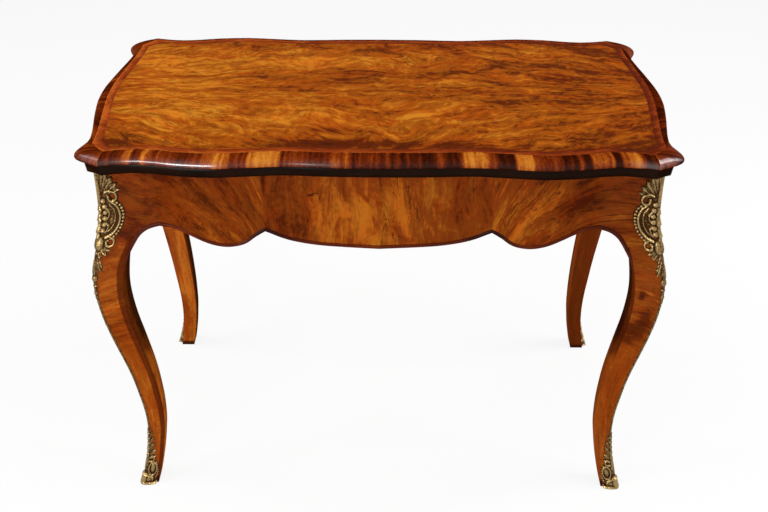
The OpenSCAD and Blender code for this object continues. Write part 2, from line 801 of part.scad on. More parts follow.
module pivot_plate() {
    color("#4d4a46")
        difference() {
            translate([pivot[0] - pivot_rail_w / 2, pivot[1] - pivot_rail_w / 2, lower_z])
                cube([pivot_rail_w, pivot_rail_w, pivot_plate_t]);
            translate([pivot[0], pivot[1], lower_z - eps])
                cylinder(r = bolt_r + run_gap, h = pivot_plate_t + 2 * eps, $fn = 64);
        }
}
// Place of the stop peg: it meets the same face of the pivot rail at both ends of the quarter turn
peg_at = [pivot[0] - peg_step, pivot[1] + peg_step];
module stop_peg() {
    color("#c79a62")
        translate([peg_at[0], peg_at[1], lower_z - peg_drop])
            cylinder(r = peg_r, h = peg_drop + peg_depth - seat_gap, $fn = 48);
}
module lower_hinge_plates() {
    color("#b8964c") on_hinge_line(false) hinge_half(hinge_x);
}
module hinge_pins() {
    color("#b8964c")
        on_hinge_line(true)
            for (side = [0, 1])
                mirror([side, 0, 0])
                    translate([hinge_x - 0.4, 0, 0])
                        rotate([0, 90, 0])
                            cylinder(r = hinge_pin_r, h = 2 * hinge_t + leaf_gap + 0.8, $fn = 48);
}
module lower_hinge_screws() {
    color("#b8964c") on_hinge_line(false) hinge_screws(hinge_x);
}

// Upper leaf
module upper_leaf() {
    color("#9a6a3a")
        difference() {
            translate([0, 0, upper_z + baize_t])
                linear_extrude(leaf_t - baize_t - veneer_t)
                    polygon(inner_outline);
            hinge_cuts(upper_eye_x, true);
        }
}
field_outline = shrunk(inner_outline, band_w);
module top_veneer() {
    color("#a8641f")
        translate([0, 0, table_h - veneer_t])
            linear_extrude(veneer_t)
                polygon(field_outline);
}
module border_band() {
    color("#7a3315") ring_sheet(inner_outline, field_outline, table_h - veneer_t, veneer_t);
}
module edge_length(outer, inner) {
    loft([for (i = [0 : len(outer) - 1]) edge_section(outer[i], inner[i])]);
}
module front_moulding() {
    color("#8a4118")
        mirror([0, 1, 0])
            edge_length(both_ways(wave_out), both_ways(wave_in));
}
module back_moulding() {
    out = both_ways(wave_out);
    in = both_ways(wave_in);
    meet = both_ways(meet_line);
    color("#8a4118")
        difference() {
            loft([for (i = [0 : len(out) - 1]) back_section(out[i], in[i], meet[i])]);
            hinge_cuts(upper_eye_x, true);
        }
}
module right_moulding() {
    color("#8a4118")
        edge_length(concat(bow_out, reversed(body_of(flip_y(bow_out)))), concat(bow_in, reversed(body_of(flip_y(bow_in)))));
}
module left_moulding() {
    color("#8a4118")
        mirror([1, 0, 0])
            edge_length(concat(bow_out, reversed(body_of(flip_y(bow_out)))), concat(bow_in, reversed(body_of(flip_y(bow_in)))));
}
module ear() {
    edge_length(ear_out, ear_in);
}
module front_left_ear() { color("#5f2412") at_corner(-1, -1) ear(); }
module front_right_ear() { color("#5f2412") at_corner(1, -1) ear(); }
module back_left_ear() { color("#5f2412") at_corner(-1, 1) ear(); }
module back_right_ear() { color("#5f2412") at_corner(1, 1) ear(); }
module upper_border() {
    color("#6e3316")
        difference() {
            ring_sheet(inner_outline, baize_outline, upper_z, baize_t);
            hinge_cuts(upper_eye_x, true);
        }
}
module upper_baize() {
    color("#2f5c3b")
        translate([0, 0, upper_z])
            linear_extrude(baize_t)
                polygon(baize_outline);
}
module upper_hinge_plates() {
    color("#b8964c") on_hinge_line(true) hinge_half(upper_eye_x);
}
module upper_hinge_screws() {
    color("#b8964c") on_hinge_line(true) hinge_screws(upper_eye_x);
}

front_rail();
back_rail();
left_rail();
right_rail();
front_left_leg();
front_right_leg();
back_left_leg();
back_right_leg();
leg_brackets();
corner_blocks();
pivot_rail();
well_floor();
well_partition();
well_lining();
well_battens();
front_bead();
back_bead();
left_bead();
right_bead();
frame_slips();
front_left_knee_mount();
front_right_knee_mount();
back_left_knee_mount();
back_right_knee_mount();
front_left_sabot();
front_right_sabot();
back_left_sabot();
back_right_sabot();
edge_strips();
lower_leaf();
lower_front_edge();
lower_back_edge();
lower_left_edge();
lower_right_edge();
lower_border();
lower_baize();
pivot_bolt();
pivot_washer();
pivot_nut();
pivot_plate();
stop_peg();
lower_hinge_plates();
hinge_pins();
lower_hinge_screws();
upper_leaf();
top_veneer();
border_band();
front_moulding();
back_moulding();
left_moulding();
right_moulding();
front_left_ear();
front_right_ear();
back_left_ear();
back_right_ear();
upper_border();
upper_baize();
upper_hinge_plates();
upper_hinge_screws();
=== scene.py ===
"""Looks of a fold-over card table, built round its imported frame. The shape code is in millimetres."""

import math

import bpy
import numpy as np
from mathutils import Matrix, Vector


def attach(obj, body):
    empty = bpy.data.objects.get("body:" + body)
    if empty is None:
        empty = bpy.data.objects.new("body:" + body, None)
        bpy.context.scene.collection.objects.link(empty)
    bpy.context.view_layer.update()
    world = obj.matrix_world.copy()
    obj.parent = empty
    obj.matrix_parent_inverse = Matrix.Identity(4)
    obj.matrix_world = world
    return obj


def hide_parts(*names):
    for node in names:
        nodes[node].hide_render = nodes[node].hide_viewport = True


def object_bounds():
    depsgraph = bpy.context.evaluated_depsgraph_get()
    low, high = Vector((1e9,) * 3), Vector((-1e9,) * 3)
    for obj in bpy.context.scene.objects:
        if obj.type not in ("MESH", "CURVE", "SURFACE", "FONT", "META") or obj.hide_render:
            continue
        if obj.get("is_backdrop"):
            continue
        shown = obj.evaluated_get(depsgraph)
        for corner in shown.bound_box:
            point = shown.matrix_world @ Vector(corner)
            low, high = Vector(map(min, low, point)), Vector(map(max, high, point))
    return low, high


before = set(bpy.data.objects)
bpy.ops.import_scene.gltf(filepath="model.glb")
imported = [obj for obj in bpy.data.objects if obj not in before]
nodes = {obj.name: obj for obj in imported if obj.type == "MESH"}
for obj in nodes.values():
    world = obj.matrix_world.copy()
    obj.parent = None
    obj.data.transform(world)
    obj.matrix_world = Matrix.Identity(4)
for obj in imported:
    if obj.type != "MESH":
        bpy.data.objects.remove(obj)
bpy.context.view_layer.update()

MM = 0.001

# Real sizes of the table, the same as in the part's source
HALF_W = 461.0
HALF_D = 220.0
TABLE_H = 730.0
LEAF_T = 16.35
LEAF_GAP = 0.3
EDGE_W = 20.0
LOWER_SET_BACK = 3.0
VENEER_T = 0.8
BAND_W = 11.0
BAIZE_T = 1.0
BAIZE_BORDER = 24.0
RAIL_H = 140.7
RAIL_SET_Y = 55.0
RAIL_SET_X = 56.0
ARCH_H = 38.0
SLIP_T = 1.0
SLIP_W = 14.0
POST_W = 50.0
LEG_SET_Y = 2.0
KNEE_DROP = 229.7
BRACKET_T = 22.0
WELL_D = 86.0

# Sizes of the visible surfaces alone: the nose lies lower, and the bead is higher, than on the solids
NOSE_H = 2.2
BEAD_HIGH = 6.5
BEAD_PROUD = 1.6
LEG_ARRIS_R = 1.6
FACE_EASE_R = 0.8
NAP_H = 0.05
# Mounts: gap to the wood, how deep their bare parts and backs lie in it, and the width of their turn
MOUNT_GAP = 0.1
OPENWORK_SUNK = 0.7
BACK_SUNK = 1.2
BACK_COLUMNS = 7
ARRIS_TURN = 1.8
BARE_BELOW = 0.3
WIDTH_SPARE = 0.2
STRIP_WING = 3.4

UPPER_Z = TABLE_H - LEAF_T
LOWER_TOP_Z = UPPER_Z - LEAF_GAP
LOWER_Z = LOWER_TOP_Z - LEAF_T
RAIL_Z = LOWER_Z - LEAF_GAP - SLIP_T
RAIL_LOW = RAIL_Z - RAIL_H
ARCH_Z = RAIL_LOW + ARCH_H
KNEE_Z = RAIL_Z - KNEE_DROP
SKEW = HALF_W - HALF_D + LEG_SET_Y
CORNERS = {"front_left": (-1, -1), "front_right": (1, -1), "back_left": (-1, 1), "back_right": (1, 1)}


# Lines and grids


def smooth_curve(points, steps):
    """Smooth line through the points: cubic spans whose slope at a point is that of its two neighbours."""
    p = np.asarray(points, float)
    p = np.vstack([2 * p[0] - p[1], p, 2 * p[-1] - p[-2]])
    a, b, c, d = p[:-3], p[1:-2], p[2:-1], p[3:]
    t = (np.arange(steps) / steps)[:, None, None]
    spans = 0.5 * (2 * b + (c - a) * t + (2 * a - 5 * b + 4 * c - d) * t**2 + (3 * b - a - 3 * c + d) * t**3)
    return np.vstack([spans.transpose(1, 0, 2).reshape(-1, p.shape[1]), p[-2:-1]])


def smoothstep(low, high, x):
    """0 below low, 1 above high, and an even S between."""
    t = np.clip((x - low) / (high - low), 0, 1)
    return t * t * (3 - 2 * t)


def hump(x, middle, width):
    """Bell curve: 1 at its middle."""
    return np.exp(-(((x - middle) / width) ** 2))


def run_length(line):
    """Distance along a line at each of its points."""
    return np.concatenate([[0], np.cumsum(np.linalg.norm(np.diff(line, axis=0), axis=1))])


def both_ways(line):
    """Line from the middle outward, with its mirror image in X before it."""
    return np.vstack([line[:0:-1] * [-1, 1], line])


def there_and_back(line):
    """Line that ends at the middle of a side, with its mirror image in Y after it."""
    return np.vstack([line, line[-2::-1] * [1, -1]])


def beside(*values):
    """Points from their coordinates, each a number or a grid of numbers."""
    return np.stack(np.broadcast_arrays(*values), -1)


def points_at(steps, run, line):
    """Points at distances along a line, given the distance of each of its own points."""
    return beside(*(np.interp(steps, run, values) for values in line.T))


def placed(rows, reach, base, way=-1):
    """Points from rows of a share of the reach and a step off the base, to the side that way gives."""
    share, step = np.transpose(rows)
    return beside(share * reach, base + way * step)


def lifted(flat, z):
    """Flat points with their height added."""
    return beside(flat[..., 0], flat[..., 1], z)


def stacked(rows):
    """Grid whose columns are flat lines, each at its own height."""
    return np.stack([lifted(line, z) for line, z in rows], 1)


def outward(vertices, faces):
    """Faces that point out of a closed shell: turned over if the volume summed over their fans is below 0."""
    total = 0.0
    for size in {len(f) for f in faces}:
        v = vertices[np.array([f for f in faces if len(f) == size])]
        for k in range(1, size - 1):
            total += np.einsum("ij,ij->", v[:, 0], np.cross(v[:, k], v[:, k + 1]))
    return faces if total > 0 else [f[::-1] for f in faces]


def shell(points, caps=True):
    """Closed shell from a grid of points, rows by columns by xyz.

    The columns run round a section and the rows carry it along; caps close the first and last row,
    and without caps the last row joins the first.
    """
    rows, cols = points.shape[:2]
    ids = np.arange(rows * cols).reshape(rows, cols)
    ids = np.hstack([ids, ids[:, :1]])
    if not caps:
        ids = np.vstack([ids, ids[:1]])
    faces = np.stack([ids[:-1, :-1], ids[:-1, 1:], ids[1:, 1:], ids[1:, :-1]], -1).reshape(-1, 4).tolist()
    if caps:
        faces += [list(range(cols))[::-1], list(range((rows - 1) * cols, rows * cols))]
    vertices = points.reshape(-1, 3)
    return vertices, outward(vertices, faces)


def linked(name, data):
    """New object in the scene."""
    obj = bpy.data.objects.new(name, data)
    bpy.context.scene.collection.objects.link(obj)
    return obj


def piece(name, shells, body, material, stands_for, sharp=35, slot=None, **places):
    """Puts shells, in millimetres, into one object that rides on a body.

    The slot argument is not used.
    Each further value is an attribute with one row per vertex: three numbers for a place in the board, in
    millimetres, or one number for tone, painted light, a dark stain with painted shade, shine or relief.
    """
    vertices = np.vstack([v for v, _ in shells])
    offsets = np.cumsum([0] + [len(v) for v, _ in shells])
    faces = [[i + n for i in f] for (_, group), n in zip(shells, offsets) for f in group]
    mesh = bpy.data.meshes.new(name)
    mesh.from_pydata((vertices * MM).tolist(), [], faces)
    for label, values in places.items():
        values = np.asarray(values, float).reshape(len(vertices), -1)
        kind, field, scale = ("FLOAT_VECTOR", "vector", MM) if values.shape[1] == 3 else ("FLOAT", "value", 1)
        layer = mesh.attributes.new(label, kind, "POINT")
        layer.data.foreach_set(field, (values * scale).astype(np.float32).ravel())
    mesh.update()
    mesh.shade_smooth()
    mesh.set_sharp_from_angle(angle=math.radians(sharp))
    mesh.materials.append(material)
    obj = linked(name, mesh)
    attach(obj, body)
    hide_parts(*stands_for)
    return obj


# Outline of the top

TOP_CORNER = np.array([HALF_W, HALF_D])
EAR_EDGE = TOP_CORNER - [
    (50, 4.5), (21, 18), (12, 25), (8, 33.5), (9.5, 43), (14.5, 54.5), (19, 65), (21, 77),
]
EAR_INNER = TOP_CORNER - [(57, 23), (35, 44)]
NOTCH = EAR_EDGE[-1]
FRONT_EDGE = placed(
    [
        (0, 4), (0.17, 5), (0.341, 8), (0.474, 4), (0.596, 0), (0.718, 3), (0.803, 9), (0.876, 12),
        (0.944, 9.5), (1, 4.5),
    ],
    EAR_EDGE[0, 0], HALF_D,
)
SIDE_EDGE = placed(
    [(1, 21), (0.867, 18.5), (0.699, 14), (0.524, 9), (0.315, 4), (0.154, 1), (0, 0)], NOTCH[1], HALF_W
)[:, ::-1]
EDGE_STEPS = 10

wave_out = smooth_curve(FRONT_EDGE, EDGE_STEPS)
share = wave_out[:, 0] / EAR_EDGE[0, 0]
ear_step = EAR_EDGE[0, 1] - EAR_INNER[0, 1]
wave_in = beside(share * EAR_INNER[0, 0], wave_out[:, 1] - EDGE_W + (EDGE_W - ear_step) * share)
ear_out = np.vstack([EAR_EDGE[:1], EAR_EDGE[:2].mean(0), smooth_curve(EAR_EDGE[1:], EDGE_STEPS)])
ear_in = EAR_INNER[0] + (EAR_INNER[1] - EAR_INNER[0]) * np.linspace(0, 1, len(ear_out))[:, None]
bow_out = smooth_curve(SIDE_EDGE, EDGE_STEPS)
share = bow_out[:, 1] / NOTCH[1]
bow_in = beside(
    bow_out[:, 0] - EDGE_W + (EAR_INNER[1, 0] - NOTCH[0] + EDGE_W) * share**3, share * EAR_INNER[1, 1]
)


def step_in(out, inner, distance):
    """Line moved in by a distance along the direction from the outer line to the inner one."""
    way = inner - out
    return out + way * np.reshape(distance, (-1, 1)) / np.linalg.norm(way, axis=1)[:, None]


def shrunk(outline, distance):
    """Outline drawn in evenly toward the middle of the top."""
    return outline * [1 - distance / (HALF_W - EDGE_W), 1 - distance / (HALF_D - EDGE_W)]


half = there_and_back(np.vstack([wave_in[:-1], ear_in[:-1], bow_in]))
inner_outline = np.vstack([half, (half * [-1, 1])[-2:0:-1]])


# Faces of the legs and rails

# Lower leg: share of the knee's height, step in from the side, share of the post's width
LOWER_LEG = [
    (0, 8.5, 0.54), (0.032, 12.5, 0.54), (0.09, 18.5, 0.54), (0.15, 23, 0.56), (0.212, 27.5, 0.56),
    (0.275, 30.5, 0.58), (0.339, 31.5, 0.6), (0.403, 30.7, 0.634), (0.472, 28.5, 0.672), (0.539, 26.2, 0.7),
    (0.605, 23, 0.73), (0.674, 18.8, 0.76), (0.762, 13, 0.8), (0.848, 8, 0.824), (0.927, 4.7, 0.852),
]
# Upper leg: drop from the frame's top edge, then the same
UPPER_LEG = [
    (KNEE_DROP, 3.5, 0.88), (198.7, 5, 0.92), (169.7, 8.5, 0.96), (139.7, 16, 1), (99.7, 26, 1),
    (72.7, 30.5, 1), (43.7, 32.5, 1), (15.7, 33.8, 1), (0, 34, 1),
]
leg_line = smooth_curve(
    [(s * KNEE_Z, HALF_W - step, w * POST_W) for s, step, w in LOWER_LEG]
    + [(RAIL_Z - drop, HALF_W - step, w * POST_W) for drop, step, w in UPPER_LEG],
    8,
)


def leg_out(z):
    """Outer face of the leg across the width at height z."""
    return np.interp(z, leg_line[:, 0], leg_line[:, 1])


def leg_inner(z):
    """Inner face of the leg across the width at height z."""
    return leg_out(z) - np.interp(z, leg_line[:, 0], leg_line[:, 2])


POST_IN_X = float(leg_inner(RAIL_Z))
POST_IN_Y = POST_IN_X - SKEW
# Where the cusp between the lobes of the long rails lies, as a share of their reach, and how high it is
CUSP = (0.469, 31)
front_face = smooth_curve(
    placed(
        [(0, 23), (0.371, 26), (0.517, 23.5), (0.65, 20.5), (0.782, 23), (0.902, 28.5), (1, 30)],
        POST_IN_X, HALF_D,
    ),
    8,
)
side_face = smooth_curve(placed([(0, 20), (0.336, 21.5), (0.672, 26), (1, 30)], POST_IN_Y, HALF_W), 8)
middle_lobe = [(0, 0), (0.159, 2.5), (0.252, 5), (0.332, 10), (0.398, 17.5), CUSP]
outer_lobe = [
    CUSP, (0.509, 21.5), (0.544, 11), (0.578, 5.5), (0.629, 3.3), (0.679, 6), (0.721, 11.5), (0.761, 19),
    (0.809, 28.5), (0.854, 35), (0.907, ARCH_H),
]
front_low = np.vstack(
    [
        smooth_curve(placed(middle_lobe, POST_IN_X, RAIL_LOW, 1), 10)[:-1],
        smooth_curve(placed(outer_lobe, POST_IN_X, RAIL_LOW, 1), 6),
    ]
)
side_low = smooth_curve(
    placed([(0, 10), (0.261, 13), (0.463, 22), (0.612, 33), (0.739, ARCH_H)], POST_IN_Y, RAIL_LOW, 1), 8
)
# Arch where the bracket runs into the leg: gap to the leg, drop below the arch
ARCH_DROP = [(43.7, 0), (30.7, 4), (22, 9), (14.2, 18), (7.5, 35), (3, 53), (0.3, 73)]
arch = smooth_curve([(leg_inner(ARCH_Z - drop) - gap, ARCH_Z - drop) for gap, drop in ARCH_DROP], 8)


def depth_of(face, start, end, skew):
    """Distance of an outer face from the middle: the rail's bowed face, turning into the leg's at its end."""

    def depth(along, z):
        t = smoothstep(start, end, along)
        return (1 - t) * np.interp(along, *face.T) + t * (leg_out(z) - skew)

    return depth


front_depth = depth_of(front_face, 290, POST_IN_X + 4, SKEW)
side_depth = depth_of(side_face, 70, POST_IN_Y + 4, 0)


# Materials


def tree_of(name):
    """New material with an empty node tree, its shader and output joined."""
    material = bpy.data.materials.new(name)
    material.use_nodes = True
    tree = material.node_tree
    tree.nodes.clear()
    shader = add(tree, "BsdfPrincipled")
    add(tree, "OutputMaterial", Surface=shader.outputs[0])
    return material, tree, shader


def put(tree, node, **sockets):
    """Gives each named or numbered socket of a node a value, or joins another socket to it."""
    for key, value in sockets.items():
        socket = node.inputs[int(key[1:]) if key[1:].isdigit() else key.replace("_", " ")]
        if isinstance(value, bpy.types.NodeSocket):
            tree.links.new(value, socket)
        else:
            socket.default_value = value
    return node


def add(tree, kind, settings=None, **sockets):
    """New node of a kind; settings are its properties."""
    node = tree.nodes.new("ShaderNode" + kind)
    for key, value in (settings or {}).items():
        setattr(node, key, value)
    return put(tree, node, **sockets)


def math_node(tree, operation, *values):
    """Result of a sum on one to three values or sockets."""
    values = {f"i{k}": value for k, value in enumerate(values)}
    return add(tree, "Math", {"operation": operation}, **values).outputs[0]


def vector_node(tree, operation, first, second):
    """Result of a sum on two places."""
    return add(tree, "VectorMath", {"operation": operation}, i0=first, i1=second).outputs[0]


def noise(tree, place, scale, detail=2.0, rough=0.5, warp=0.0):
    """Value of a noise at a place."""
    node = add(tree, "TexNoise", Vector=place, Scale=scale, Detail=detail, Roughness=rough, Distortion=warp)
    return node.outputs[0]


def mixed(tree, factor, first, second, how="MIX"):
    """Colour mixed from two by a factor."""
    node = add(tree, "Mix", {"data_type": "RGBA", "blend_type": how}, i0=factor, i6=first, i7=second)
    return node.outputs[2]


def spread(tree, value, low, high, to_low=0.0, to_high=1.0):
    """Value carried smoothly from one range to another and held inside it."""
    settings = {"interpolation_type": "SMOOTHSTEP"}
    return add(tree, "MapRange", settings, i0=value, i1=low, i2=high, i3=to_low, i4=to_high).outputs[0]


def swung(tree, tone, *swings):
    """Tone plus each noise about its middle, times its amount."""
    for value, amount in swings:
        swing = math_node(tree, "MULTIPLY", math_node(tree, "SUBTRACT", value, 0.5), amount)
        tone = math_node(tree, "ADD", tone, swing)
    return tone


def pushed(tree, place, scale, reach):
    """Place pushed about by a slow noise: the noise's colour about its middle, times the reach."""
    slow = add(tree, "TexNoise", Vector=place, Scale=scale, Detail=2.0).outputs["Color"]
    centred = vector_node(tree, "SUBTRACT", slow, (0.5, 0.5, 0.5))
    push = add(tree, "VectorMath", {"operation": "SCALE"}, i0=centred, Scale=reach).outputs[0]
    return vector_node(tree, "ADD", place, push)


def bumped(tree, height, strength, distance, **settings):
    """Normal lifted by a height."""
    return add(tree, "Bump", settings, Strength=strength, Distance=distance, Height=height).outputs[0]


def attribute(tree, name, output="Fac"):
    """Value or place kept on the piece's own vertices."""
    return add(tree, "Attribute", {"attribute_name": name}).outputs[output]


def own_place(tree):
    """Place on the piece."""
    return add(tree, "TexCoord").outputs["Object"]


def srgb(red, green, blue):
    """Linear colour from the everyday 0 to 255 scale."""
    c = np.array([red, green, blue]) / 255
    linear = np.where(c <= 0.04045, c / 12.92, ((c + 0.055) / 1.055) ** 2.4)
    return (*linear.tolist(), 1.0)


WOOD_COLOURS = ("Light", "Middle", "Dark", "Vein")
WOOD_VALUES = {
    "Tone": 0.0, "Cloud Size": 28.0, "Stretch": 0.3, "Bend": 0.03, "Cloud Amount": 1.6, "Band Amount": 1.0,
    "Fibre Amount": 0.6, "Mottle Amount": 0.5, "Vein Amount": 0.7,
}
REDDER = (1.03, 0.89, 0.8, 1.0)
GREENER = (0.97, 1.09, 1.1, 1.0)


def figured_wood():
    """Group for figured veneer: clouds, finer bands, mottle and long fibres, with thin dark wisps and pores.

    Vector is the place in the board in metres, with the grain along X. A slow noise bends it. The tone is one
    half, plus Tone, plus each noise about its middle times its amount, and runs from Vein through Dark and
    Middle to Light. A wisp lies where its noise is close to its middle.
    """
    group = bpy.data.node_groups.new("figured_wood", "ShaderNodeTree")
    kinds = {"Vector": "Vector", **dict.fromkeys(WOOD_COLOURS, "Color")}
    kinds.update(dict.fromkeys(WOOD_VALUES, "Float"))
    for label, kind in kinds.items():
        socket = group.interface.new_socket(label, in_out="INPUT", socket_type="NodeSocket" + kind)
        if label in WOOD_VALUES:
            socket.default_value = WOOD_VALUES[label]
    for label, kind in (("Color", "Color"), ("Height", "Float")):
        group.interface.new_socket(label, in_out="OUTPUT", socket_type="NodeSocket" + kind)
    inp = group.nodes.new("NodeGroupInput").outputs
    bent = pushed(group, inp["Vector"], 7.0, inp["Bend"])

    def times(a, b):
        return math_node(group, "MULTIPLY", a, b)

    def drawn_out(share):
        """Place with the grain's direction squeezed, so that a noise on it is drawn out along the grain."""
        squeeze = add(group, "CombineXYZ", X=share, Y=1.0, Z=1.0).outputs[0]
        return vector_node(group, "MULTIPLY", bent, squeeze)

    def grained(stretch, size, *values):
        """Noise drawn out by a share of Stretch, at a multiple of Cloud Size."""
        place = drawn_out(times(inp["Stretch"], stretch))
        return noise(group, place, times(inp["Cloud Size"], size), *values)

    board = drawn_out(inp["Stretch"])
    clouds = noise(group, board, inp["Cloud Size"], 6.0, 0.6, 0.9)
    bands = grained(0.6, 3.2, 5.0, 0.62, 0.7)
    fibres = noise(group, drawn_out(0.05), 420.0, 3.0, 0.6)
    mottle = noise(group, bent, times(inp["Cloud Size"], 5.0), 4.0, 0.6)
    tone = swung(
        group, math_node(group, "ADD", inp["Tone"], 0.5), (clouds, inp["Cloud Amount"]),
        (bands, inp["Band Amount"]), (fibres, inp["Fibre Amount"]), (mottle, inp["Mottle Amount"]),
    )
    colour = mixed(group, spread(group, tone, -0.6, 0.0), inp["Vein"], inp["Dark"])
    colour = mixed(group, spread(group, tone, 0.0, 0.52), colour, inp["Middle"])
    colour = mixed(group, spread(group, tone, 0.48, 1.0), colour, inp["Light"])
    hue = grained(0.8, 2.4, 4.0, 0.6, 0.5)
    tint = mixed(group, spread(group, hue, 0.34, 0.64), REDDER, GREENER)
    colour = mixed(group, 1.0, colour, tint, "MULTIPLY")
    off_middle = math_node(group, "SUBTRACT", grained(0.55, 2.1, 4.0, 0.5, 1.2), 0.52)
    thin = spread(group, math_node(group, "ABSOLUTE", off_middle), 0.003, 0.022, 1.0, 0.0)
    patch = noise(group, board, times(inp["Cloud Size"], 0.7), 1.0)
    wisp = times(times(thin, spread(group, patch, 0.4, 0.6)), inp["Vein Amount"])
    pore = spread(group, noise(group, drawn_out(0.1), 1300.0, 1.0), 0.6, 0.75, 0.0, 0.3)
    for mask in (wisp, pore):
        colour = mixed(group, mask, colour, inp["Vein"])
    out = group.nodes.new("NodeGroupOutput")
    put(group, out, Color=colour, Height=math_node(group, "SUBTRACT", fibres, pore))
    return group


WOOD = figured_wood()


def figure(tree, place, colours, **values):
    """The figured group in a set of four colours, from light to vein."""
    named = {label: srgb(*colour) for label, colour in zip(WOOD_COLOURS, colours)}
    return add(tree, "Group", {"node_tree": WOOD}, Vector=place, **named, **values)


def polish(tree, shader, weight, smooth=0.2, kept=None):
    """Thin polish over a dull surface: full where it is seen square on, and faint at a glancing view.

    kept is how much of it is left at each place.
    """
    facing = add(tree, "LayerWeight", Blend=0.5).outputs["Facing"]
    film = spread(tree, facing, 0.12, 0.42, weight, weight * 0.12)
    if kept is not None:
        film = math_node(tree, "MULTIPLY", film, kept)
    put(tree, shader, Roughness=0.55, Specular_IOR_Level=0.0, Coat_Roughness=smooth, Coat_Weight=film)


def surface(tree, shader, colour, height, strength=0.12):
    """Joins a colour and a fine height to the shader."""
    put(tree, shader, Base_Color=colour, Normal=bumped(tree, height, strength, 0.0004))


def wood(name, colours, kept=False, gloss=(0.3, 0.2), strength=0.12, **values):
    """Wood from the figured group; kept reads the piece's own board place and tone."""
    material, tree, shader = tree_of(name)
    place = attribute(tree, "grain", "Vector") if kept else own_place(tree)
    if kept:
        values["Tone"] = attribute(tree, "tone")
    made = figure(tree, place, colours, **values)
    surface(tree, shader, made.outputs["Color"], made.outputs["Height"], strength)
    polish(tree, shader, *gloss)
    return material


# Colours of each wood, from light to vein
TOP_COLOURS = ((210, 126, 32), (164, 79, 12), (96, 35, 4), (66, 25, 5))
APRON_COLOURS = ((182, 98, 22), (128, 54, 8), (78, 25, 2), (38, 11, 1))
LEG_COLOURS = ((188, 103, 28), (145, 65, 14), (94, 36, 6), (54, 19, 3))
BEAD_COLOURS = ((118, 46, 12), (84, 27, 7), (50, 15, 5), (24, 8, 3))
BAND_COLOURS = ((186, 88, 30), (142, 56, 16), (96, 32, 9), (56, 18, 6))
BLACK_COLOURS = ((40, 20, 9), (28, 13, 6), (18, 8, 4), (10, 5, 3))
OAK_COLOURS = ((190, 146, 92), (160, 116, 68), (120, 82, 44), (90, 58, 32))
CORE_COLOURS = ((168, 116, 66), (138, 90, 46), (104, 64, 30), (76, 44, 20))
BORDER_COLOURS = ((150, 78, 30), (118, 52, 18), (80, 32, 10), (46, 16, 6))
# Crossbanded veneer: a colour for each tone
EDGE_COLOURS = [
    (0.0, (44, 12, 2)), (0.15, (74, 23, 4)), (0.32, (102, 35, 7)), (0.48, (130, 53, 12)),
    (0.65, (162, 80, 20)), (0.85, (192, 114, 34)), (1.0, (206, 132, 46)),
]

APRON_FIGURE = {
    "Cloud_Size": 22.0, "Stretch": 0.34, "Bend": 0.05, "Cloud_Amount": 1.5, "Fibre_Amount": 0.45,
    "Mottle_Amount": 0.55,
}
BACK_WOOD = {"gloss": (0.05, 0.4), "strength": 0.3, "Stretch": 0.12, "Vein_Amount": 0.3}

top_walnut = wood(
    "top_walnut", TOP_COLOURS, True, (0.3, 0.22), Cloud_Size=17.0, Stretch=0.36, Bend=0.12, Cloud_Amount=1.25,
    Band_Amount=1.5, Fibre_Amount=0.7, Mottle_Amount=1.1, Vein_Amount=0.6,
)
apron_walnut = wood("apron_walnut", APRON_COLOURS, True, (0.06,), **APRON_FIGURE)
bead_walnut = wood("bead_walnut", BEAD_COLOURS, True, (0.15,), Cloud_Size=40.0, Vein_Amount=0.2)
band_walnut = wood("band_walnut", BAND_COLOURS, True, Cloud_Size=50.0, Vein_Amount=0.2)
ebonised = wood("ebonised_wood", BLACK_COLOURS, gloss=(0.08, 0.25), Vein_Amount=0.2)
oak = wood("secondary_oak", OAK_COLOURS, **BACK_WOOD)
core_wood = wood("leaf_core", CORE_COLOURS, **BACK_WOOD)
inner_border = wood("inner_border_walnut", BORDER_COLOURS, Cloud_Size=30.0)


def leg_veneer():
    """Leg: grain along the leg below, ripples across it at the knee, and the apron's figure above the arch.

    An attribute darkens the inner faces, first to red-brown and then almost to black: partly a dark stain,
    and partly painted shade where they turn from the light. Another raises the tone, as painted light on some
    inner faces, and carries clouds and a knot.
    """
    material, tree, shader = tree_of("leg_walnut")
    place = attribute(tree, "grain", "Vector")
    height = add(tree, "SeparateXYZ", Vector=own_place(tree)).outputs[2]
    lift = attribute(tree, "lift")
    along = figure(
        tree, place, LEG_COLOURS, Tone=lift, Cloud_Size=34.0, Stretch=0.16, Bend=0.02, Cloud_Amount=1.3,
        Band_Amount=0.8, Vein_Amount=0.25,
    )
    turned = add(tree, "Mapping", Vector=place, Rotation=(0, 0, math.radians(68))).outputs[0]
    ripple = figure(
        tree, turned, LEG_COLOURS, Tone=lift, Cloud_Size=42.0, Stretch=0.16, Bend=0.05, Cloud_Amount=1.4,
        Band_Amount=1.2, Fibre_Amount=0.4, Vein_Amount=0.5,
    )
    board = attribute(tree, "board", "Vector")
    above = figure(tree, board, APRON_COLOURS, Tone=attribute(tree, "tone"), **APRON_FIGURE)
    colour = mixed(tree, spread(tree, height, 0.3, 0.4), along.outputs["Color"], ripple.outputs["Color"])
    colour = mixed(tree, spread(tree, height, 0.48, 0.57), colour, above.outputs["Color"])
    # Dark stain with painted shade: red-brown, then almost black
    stain = attribute(tree, "stain")
    red = mixed(tree, 0.8, colour, srgb(74, 27, 10))
    black = mixed(tree, 0.92, colour, srgb(34, 12, 6))
    colour = mixed(tree, spread(tree, stain, 0.1, 0.4), colour, red)
    colour = mixed(tree, spread(tree, stain, 0.5, 1.0), colour, black)
    surface(tree, shader, colour, along.outputs["Height"])
    polish(tree, shader, 0.09, kept=math_node(tree, "SUBTRACT", 1.0, spread(tree, stain, 0.05, 0.3)))
    return material


